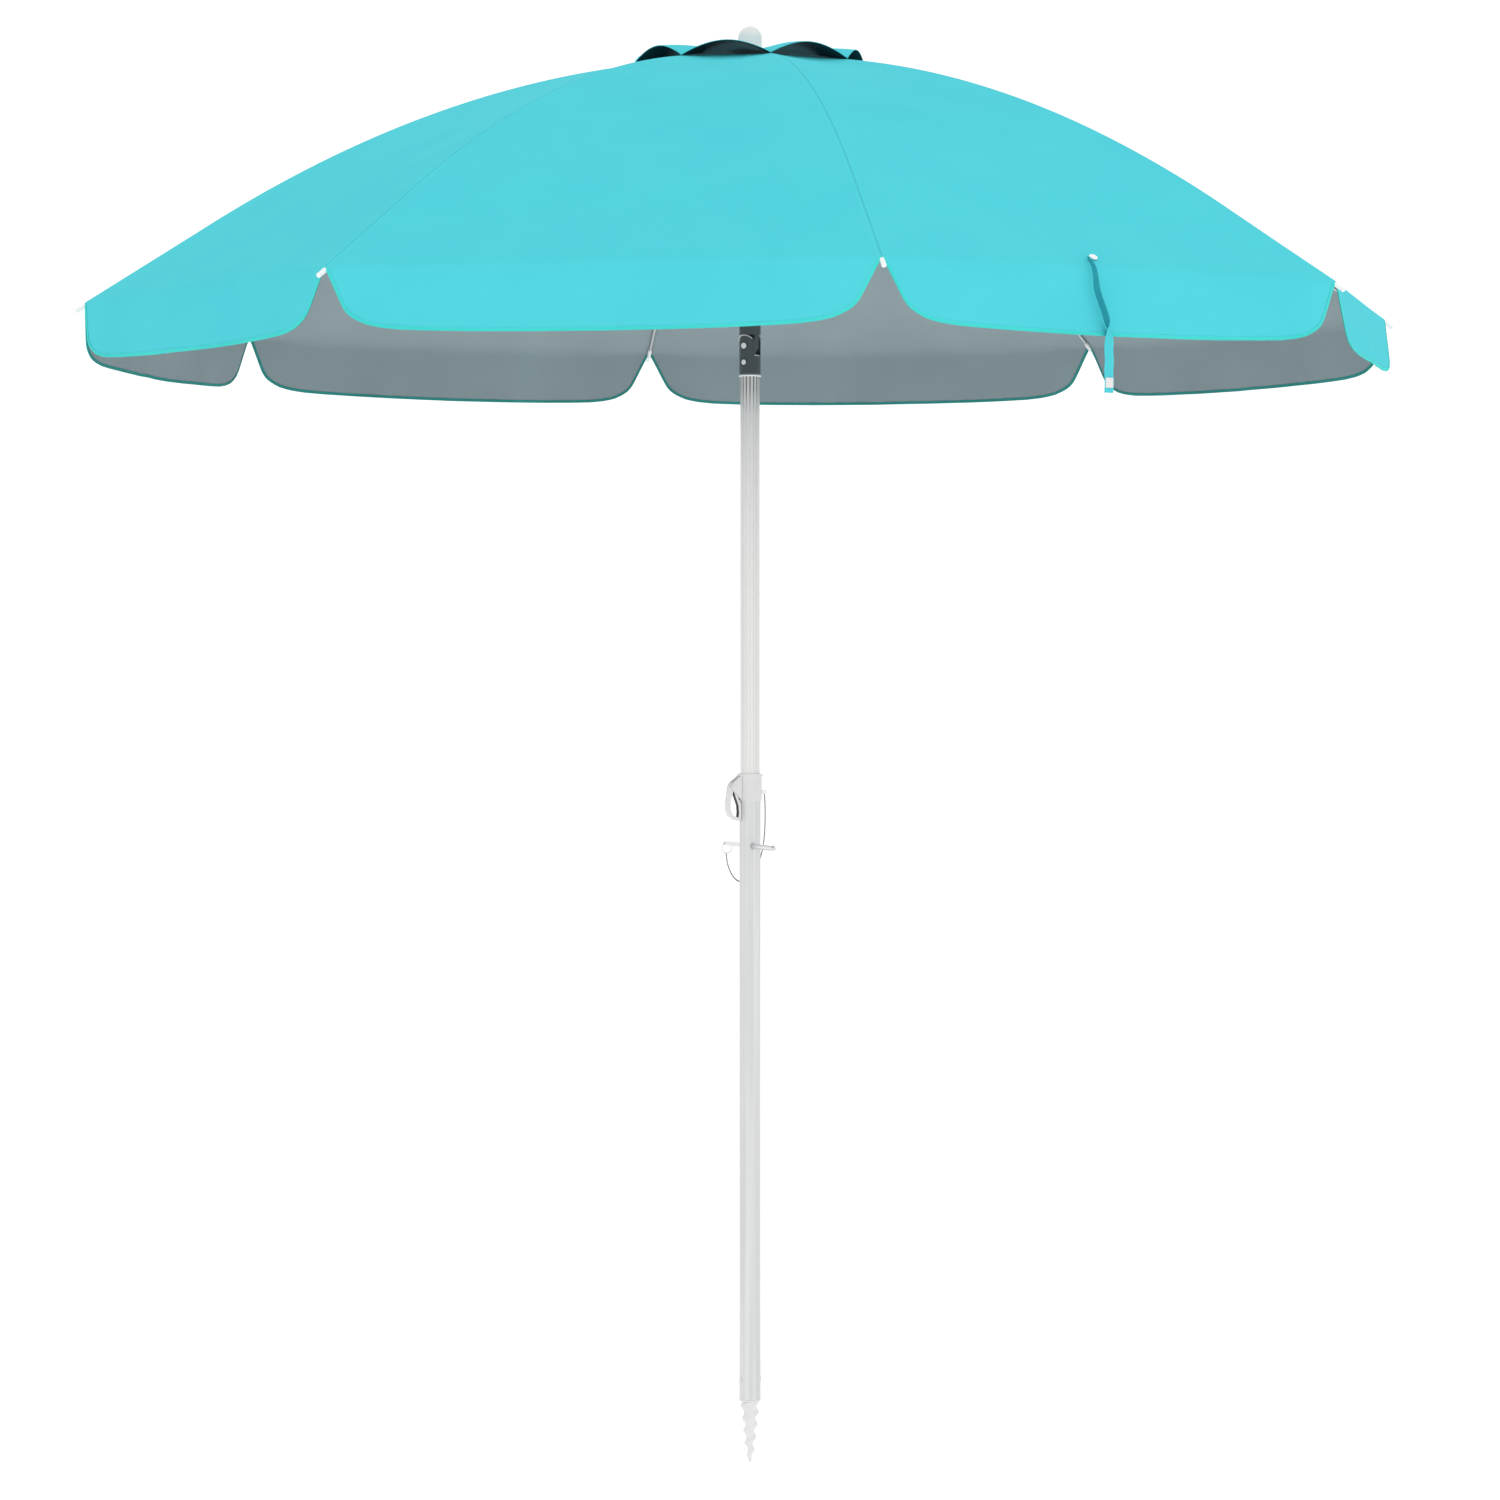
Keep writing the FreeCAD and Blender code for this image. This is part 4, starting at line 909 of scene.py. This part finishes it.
def make_rib(number):
    """A springy steel rod from the crown to the rim, with its eye, lug, ties and tip cap."""
    azimuth = FIRST_RIB + SECTOR * number
    rim = RIM_REACH + 0.0018

    def spot(reach):
        return in_sector(azimuth, reach, 0, rib_height(reach) - RIB_DROP)

    count = ceil((rim - ROD_START) / ROD_STEP)
    path = [spot(ROD_START + (rim - ROD_START) * i / count) for i in range(count + 1)]
    rod = tube(f"rib_{number}", path, ROD_RADIUS, RIB, 14)
    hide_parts(f"rib_inner_{number}", f"rib_outer_{number}")
    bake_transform(rod)

    # the flattened eye that turns on the crown's wire
    eye, side = spot(CROWN_WIRE_REACH), around(azimuth)
    ring = lathe(f"rib_eye_{number}", EYE_PROFILE, RIB, eye, side, 24)
    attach(ring, f"rib_inner_{number}")
    make_lug(number, azimuth)

    # the tip cap with its round end
    along = (spot(rim) - spot(rim - 0.02)).normalized()
    cap = lathe(f"rib_cap_{number}", CAP_PROFILE, GLAZED, spot(rim), along, 28)
    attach(cap, f"rib_outer_{number}")

    # thread ties that hold the seam to the rod
    for k, reach in enumerate(TIE_REACHES):
        way = (spot(reach + 0.01) - spot(reach - 0.01)).normalized()
        tie = lathe(f"rib_tie_{number}_{k}", TIE_PROFILE, CLOTH_TIE, spot(reach), way, 20)
        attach(tie, f"rib_outer_{number}")


LUG_REACH, LUG_HEIGHT = 0.458, 2.028
LUG_INSIDE, LUG_OUTSIDE = 0.0026, 0.0040
LUG_OUTLINE = [
    (-0.0085, 0.0160), (-0.0060, 0.0060), (-0.0036, -0.0016), (-0.0018, -0.0036),
    (0.0018, -0.0036), (0.0036, -0.0016), (0.0062, 0.0062), (0.0070, 0.0118),
]


def make_lug(number, azimuth):
    """A bent steel fork round the rod that the stretcher's eye is pinned in."""
    cheeks = []
    count = len(LUG_OUTLINE)
    for sign in (-1, 1):
        points = []
        for side in (LUG_INSIDE, LUG_OUTSIDE):
            for du, dz in LUG_OUTLINE:
                points.append(in_sector(azimuth, LUG_REACH + du, sign * side, LUG_HEIGHT + dz))
        faces = [tuple(range(count)), tuple(reversed(range(count, 2 * count)))]
        faces += edge_faces(list(range(count)), count)
        cheeks.append(new_mesh("Cheek", points, faces, [RIB], smooth=False))
    pivot = in_sector(azimuth, LUG_REACH, 0, LUG_HEIGHT)
    pin = lathe("Pin", PIN_PROFILE, BRIGHT, pivot, around(azimuth), 20)
    slope = atan(slope_at(LUG_REACH))
    middle = in_sector(azimuth, LUG_REACH, 0, rib_height(LUG_REACH) - RIB_DROP)
    way = outwards(azimuth) * cos(slope) - Vector((0, 0, sin(slope)))
    sleeve = lathe("Sleeve", SLEEVE_PROFILE, RIB, middle, way, 24)
    lug = joined(f"rib_lug_{number}", cheeks + [pin, sleeve])
    for polygon in lug.data.polygons:
        polygon.use_smooth = True
    sharpen(lug, 35)
    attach(lug, f"rib_inner_{number}")


for index in range(RIBS):
    make_rib(index)
for index in range(RIBS):
    make_gore(index)
for index in range(RIBS):
    make_vent_petal(index)

# ---- strap, anchor, finial, trims

STRAP_GORE = FIRST_RIB + SECTOR / 2
STRAP_SHIFT = radians(-1.5)
STRAP_TOP = 0.899
STRAP_END = 1.580
STRAP_HALF = 0.0073
STRAP_THICK = 0.0005
PATCH_HALF = 0.0062
PATCH_POINTS = 9
BUTTON_PROFILE = [
    (0, 0.0034), (0.0022, 0.0033), (0.0036, 0.0028), (0.0044, 0.0031), (0.0055, 0.0029),
    (0.0062, 0.0021), (0.0062, 0.0012), (0.0056, 0.0006), (0, 0.0006),
]


def strap_line(v):
    """The band's middle in a gore's plane: from its button over the rim, then straight down."""
    line = []
    for i in range(8):
        u = STRAP_TOP + (RIM_U - 0.013 - STRAP_TOP) * i / 7
        line.append((u, canopy_point(u, v) + 0.0016))
    for i in range(36):
        q = -0.010 + 0.098 * i / 35
        u, z = rim_point(v, q, valance_wave(0, v))
        turned = CANOPY_SLOPE + RIM_TURN * ease((q + 0.012) / 0.024)
        line.append((u + 0.0022 * sin(turned), z + 0.0022 * cos(turned)))
    last_u, last_z = line[-1]
    hang = 24
    for i in range(1, hang + 1):
        z = last_z + (STRAP_END - last_z) * i / hang
        line.append((last_u + 0.0006 * sin(i * 0.7), z))
    return line


def make_strap():
    """The turquoise tie band: its neck stands on edge below the button, then it hangs flat."""
    gore = STRAP_GORE
    v = 0.905 * tan(STRAP_SHIFT)
    line = strap_line(v)
    points, lengths = [], []
    across_steps = (-1, -0.5, 0, 0.5, 1)
    section = [(side, 1) for side in across_steps]
    section += [(side, -1) for side in reversed(across_steps)]
    downs = [0]
    for (a, b), (c, d) in zip(line, line[1:]):
        downs.append(downs[-1] + hypot(c - a, d - b))
    for i, (u, z) in enumerate(line):
        a, b = line[max(i - 1, 0)], line[min(i + 1, len(line) - 1)]
        way = Vector((b[0] - a[0], b[1] - a[1])).normalized()
        out = Vector((-way.y, way.x))
        down = downs[i]
        turn = radians(88) * ease((down - 0.002) / 0.012) * (1 - ease((down - 0.104) / 0.030))
        half = STRAP_HALF * (0.28 + 0.72 * ease((down - 0.004) / 0.055))
        lean = 0.004 + 0.009 * ease(down / 0.02)
        middle = v - 0.8 * half * sin(turn) - lean * (1 - ease((down - 0.055) / 0.06))
        for side, face in section:
            lift = face * STRAP_THICK
            rise = half * sin(turn) * (1 - side) + lift * cos(turn)
            across = middle + side * half * cos(turn) + lift * sin(turn)
            points.append(in_sector(gore, u + out.x * rise, across, z + out.y * rise))
            lengths.append((side * half, down))
    width = len(section)
    faces = grid_faces(len(line), width, wrap=True)
    # the back faces get the webbing's painted shade copy
    slots = [1 if 5 <= k % width <= 8 else 0 for k in range(len(faces))] + [0, 0]
    faces.append(tuple(reversed(range(width))))
    faces.append(tuple(range(len(points) - width, len(points))))
    strap = new_mesh("tie_band", points, faces, [WEBBING, WEBBING_BACK_SHADE], slots)
    add_uv(strap, "Cloth", lengths)
    add_uv(strap, "Seam", [(STRAP_HALF - abs(a) + 0.0032, b) for a, b in lengths])
    sharpen(strap, 60)
    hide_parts("tie_strap")
    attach(strap, "tie_strap")
    pieces = [make_strap_button(v), make_strap_patch(v, *line[-5])]


def make_strap_button(v):
    """The white button that holds the strap to the cloth, and stays on the cloth."""
    u = STRAP_TOP + 0.004
    seat = in_sector(STRAP_GORE, u, v, canopy_point(u, v) + 0.0012)
    face = outwards(STRAP_GORE) * sin(CANOPY_SLOPE) + Vector((0, 0, cos(CANOPY_SLOPE)))
    button = lathe("tie_button", BUTTON_PROFILE, GLAZED, seat, face, 36)
    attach(button, "gore_outer_0")
    return button


def make_strap_patch(v, u, z):
    """The pale square of fastener tape near the strap's end, soft at its edges."""
    points = []
    steps = [-1 + 2 * i / (PATCH_POINTS - 1) for i in range(PATCH_POINTS)]
    for b in steps:
        for a in steps:
            lift = 0.0013 - 0.0005 * max(abs(a), abs(b)) ** 6
            across, height = v + a * PATCH_HALF, z + b * PATCH_HALF * 1.12
            points.append(in_sector(STRAP_GORE, u + lift, across, height))
    count = len(points)
    points += [p - outwards(STRAP_GORE) * 0.0008 for p in points]
    faces = grid_faces(PATCH_POINTS, PATCH_POINTS)
    faces += grid_faces(PATCH_POINTS, PATCH_POINTS, count, flip=True)
    faces += edge_faces(border(PATCH_POINTS, PATCH_POINTS), count)
    patch = new_mesh("tie_patch", points, faces, [PATCH])
    add_uv(patch, "Cloth", [(p.x, p.z) for p in points])
    add_uv(patch, "Seam", [(0.004, p.z) for p in points])
    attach(patch, "tie_strap")
    return patch


ANCHOR_PITCH, ANCHOR_WOBBLE = 0.019, 0.0014
ANCHOR_TOP, TUBE_FOOT = 0.0945, 0.096
NECK_PROFILE = [
    (0.0, 0.0930), (0.0148, 0.0930), (0.0156, 0.0934), (0.0159, 0.0942), (0.0159, 0.0957),
    (0.0150, 0.0959), (0.0150, 0.1), (0.0, 0.1),
]


def make_anchor():
    """The white auger: a tapering core that wanders round its axis once in each pitch."""
    rows, sides = 260, 40
    points = []
    for i in range(rows + 1):
        z = ANCHOR_TOP * i / rows
        radius = 0.0014 + 0.0111 * (z / TUBE_FOOT) ** 0.8
        angle = 2 * pi * z / ANCHOR_PITCH
        drift = ANCHOR_WOBBLE * min(1.0, z / ANCHOR_PITCH)
        centre = Vector((drift * cos(angle), drift * sin(angle), z))
        for j in range(sides):
            a = 2 * pi * j / sides
            ridge = 0.5 + 0.5 * cos(a - angle)
            wide = radius + min(0.0013, radius * 0.3) * ridge**3 * min(1, z / 0.006)
            points.append(centre + Vector((wide * cos(a), wide * sin(a), 0)))
    faces = grid_faces(rows + 1, sides, wrap=True)
    tip = len(points)
    points.append(Vector((0, 0, 0)))
    faces += [((j + 1) % sides, j, tip) for j in range(sides)]
    last = rows * sides
    faces.append(tuple(last + j for j in range(sides)))
    auger = new_mesh("sand_auger", points, faces, [ANCHOR_WHITE])
    neck = lathe("Neck", NECK_PROFILE, ANCHOR_WHITE)
    anchor = joined("sand_anchor_body", [auger, neck])
    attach(anchor, "lower_pole")
    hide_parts("sand_anchor")


FINIAL_TOP = 2.180
DOME_RISE, DOME_HALF = 0.016, 0.0182


def make_finial():
    """The white knob on the crown: a thin flange, soft sides and a low dome."""
    seat = CAP_SEAT + CLOTH + 0.0001
    profile = [
        (0.0, seat), (0.0262, seat), (0.0265, seat + 0.0005), (0.0265, 2.1446),
        (0.0258, 2.1456), (0.0240, 2.1461), (0.0205, 2.1466), (0.0190, 2.1472),
        (0.0183, 2.1484), (DOME_HALF, 2.152), (DOME_HALF, FINIAL_TOP - DOME_RISE - 0.001),
    ]
    radius = (DOME_RISE * DOME_RISE + DOME_HALF * DOME_HALF) / (2 * DOME_RISE)
    steps = 14
    for i in range(steps):
        r = DOME_HALF * (1 - i / steps)
        profile.append((r, FINIAL_TOP - radius + sqrt(radius * radius - r * r)))
    profile.append((0, FINIAL_TOP))
    knob = lathe("finial_knob", profile, WHITE, steps=64)
    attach(knob, "head")
    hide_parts("finial")


TILT_RADIUS, TILT_PIVOT = 0.0162, 1.696
BUTTON_HEIGHT, MARK_HEIGHT = 1.671, 1.6815
TRIM_RADIUS = 0.0006
BAND_PROFILE = [
    (0.0150, 1.6496), (0.0163, 1.6496), (0.0167, 1.6501), (0.0168, 1.6515), (0.0167, 1.6529),
    (0.0163, 1.6534), (0.0150, 1.6534),
]


def make_trims():
    """The band under the tilt joint, a painted highlight along each cheek's edge, dark rings of
    painted shade round the pins, and a painted highlight on a notch.
    """
    band = lathe("tilt_band", BAND_PROFILE, BRIGHT, steps=64)
    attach(band, "upper_pole")
    for side, azimuth in enumerate((TILT_AZIMUTH, TILT_AZIMUTH + 180)):
        arc = []
        for i in range(25):
            a = radians(-62 + 110 * i / 24)
            reach = TILT_RADIUS * cos(a)
            arc.append(in_sector(azimuth, reach, TILT_RADIUS * sin(a), TILT_PIVOT + reach))
        # a light tube along each cheek's top edge: a painted highlight
        edge = tube(f"cheek_highlight_{side}", arc, TRIM_RADIUS, WHITE, 10)
        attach(edge, "upper_pole")
        rings = [("pin", TILT_PIVOT, 0.0054), ("button", BUTTON_HEIGHT, 0.0050)]
        for name, height, size in rings[: 2 - side]:
            loop = []
            for i in range(33):
                a = 2 * pi * i / 32
                reach = sqrt(TILT_RADIUS * TILT_RADIUS - (size * sin(a)) ** 2)
                loop.append(in_sector(azimuth, reach, size * sin(a), height + size * cos(a)))
            # dark rings round the pin and button: painted shade of their recesses
            ring = tube(f"{name}_ring_{side}", loop, TRIM_RADIUS, RECESS_SHADE, 8)
            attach(ring, "upper_pole")
    # a short light dash on a notch of the tilt joint: a painted highlight
    turns = [TILT_AZIMUTH + 62 + 30 * i / 6 for i in range(7)]
    mark = [in_sector(turn, TILT_RADIUS, 0, MARK_HEIGHT) for turn in turns]
    groove = tube("tilt_notch_highlight", mark, TRIM_RADIUS, HUB, 8)
    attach(groove, "upper_pole")


make_strap()
make_anchor()
make_finial()
make_trims()

# ---- CAD nodes that stay

PAINT = (
    (PAINTED, ["lower_pole"]),
    (FLUTED, ["upper_pole", "head_pole"]),
    (WHITE, ["clamp_collar", "clamp_lever"]),
    (DARK, ["tilt_base", "tilt_head", "crown"]),
    (HUB, ["runner"]),
    # the pins' near-white is a painted glint
    (RIVET_GLINT, ["tilt_pin", "tilt_button"]),
    (BRIGHT, ["anchor_rivet", "collar_hardware", "t_bar", "split_ring"]),
    (RIB, [f"stretcher_{number}" for number in range(RIBS)]),
)
for material, names in PAINT:
    for name in names:
        mesh = NODES[name].data
        mesh.materials.clear()
        mesh.materials.append(material)


def shade_lever_hole():
    """Painted shade on the inner wall of the lever's loop."""
    lever = NODES["clamp_lever"]
    middle = in_sector(CLAMP_AZIMUTH, 0.0275, 0, 1.001)
    # the loop's inner faces get the painted shade material
    lever.data.materials.append(RECESS_SHADE)
    for face in lever.data.polygons:
        centre = lever.matrix_world @ face.center
        inwards = middle - centre
        level = abs(face.normal.dot(around(CLAMP_AZIMUTH)))
        if level < 0.3 and face.normal.dot(inwards) > 0 and inwards.length < 0.026:
            face.material_index = 1


shade_lever_hole()

# ---- studio


FLOOR_HALF, FLOOR_Z = 30, -0.002


def make_studio():
    """A pale floor, an even white world that is a little dimmer aside and above, two lights."""
    n = Nodes("studio_floor", Roughness=0.8, Emission_Color=(1, 1, 1, 1), Emission_Strength=0.2)
    pale, paler = colour(247, 247, 247), colour(250, 250, 250)
    n.set("Base Color", n.mix(n.noise(n.place(), 2.0), paler, pale))
    corners = [(-1, -1), (1, -1), (1, 1), (-1, 1)]
    points = [(x * FLOOR_HALF, y * FLOOR_HALF, FLOOR_Z) for x, y in corners]
    floor = new_mesh("studio_floor", points, [(0, 1, 2, 3)], [n.material])
    bpy.context.scene.view_settings.view_transform = "Standard"
    world = bpy.data.worlds.new("Studio")
    bpy.context.scene.world = world
    world.use_nodes = True
    background = world.node_tree.nodes["Background"]
    background.inputs[0].default_value = (1, 1, 1, 1)
    tree = world.node_tree
    toward = tree.nodes.new("ShaderNodeSeparateXYZ")
    tree.links.new(tree.nodes.new("ShaderNodeTexCoord").outputs["Generated"], toward.inputs[0])
    sideways = tree.nodes.new("ShaderNodeMath")
    sideways.operation = "ABSOLUTE"
    tree.links.new(toward.outputs["X"], sideways.inputs[0])
    shares = []
    for source, start, end, low, high in (
        (sideways.outputs[0], 0.95, 0.3, 0.92, 1.13),
        (toward.outputs["Z"], 1.0, 0.35, 0.86, 1.0),
    ):
        share = tree.nodes.new("ShaderNodeMapRange")
        tree.links.new(source, share.inputs[0])
        for socket, value in zip(list(share.inputs)[1:5], (start, end, low, high)):
            socket.default_value = value
        shares.append(share.outputs[0])
    strength = tree.nodes.new("ShaderNodeMath")
    strength.operation = "MULTIPLY"
    for socket, share in zip(strength.inputs, shares):
        tree.links.new(share, socket)
    tree.links.new(strength.outputs[0], background.inputs[1])
    for place, size, power, name in (
        ((3.5, -6.5, 6.0), 3.0, 50, "Key"),
        ((-2.0, 5.0, 6.5), 3.0, 8, "Back"),
    ):
        data = bpy.data.lights.new(name, "AREA")
        data.size = size
        data.energy = power
        lamp = bpy.data.objects.new(name, data)
        lamp.location = place
        aim = Vector((0, 0, 1.5)) - Vector(place)
        lamp.rotation_euler = aim.to_track_quat("-Z", "Y").to_euler()
        bpy.context.scene.collection.objects.link(lamp)


make_studio()

bpy.context.view_layer.update()
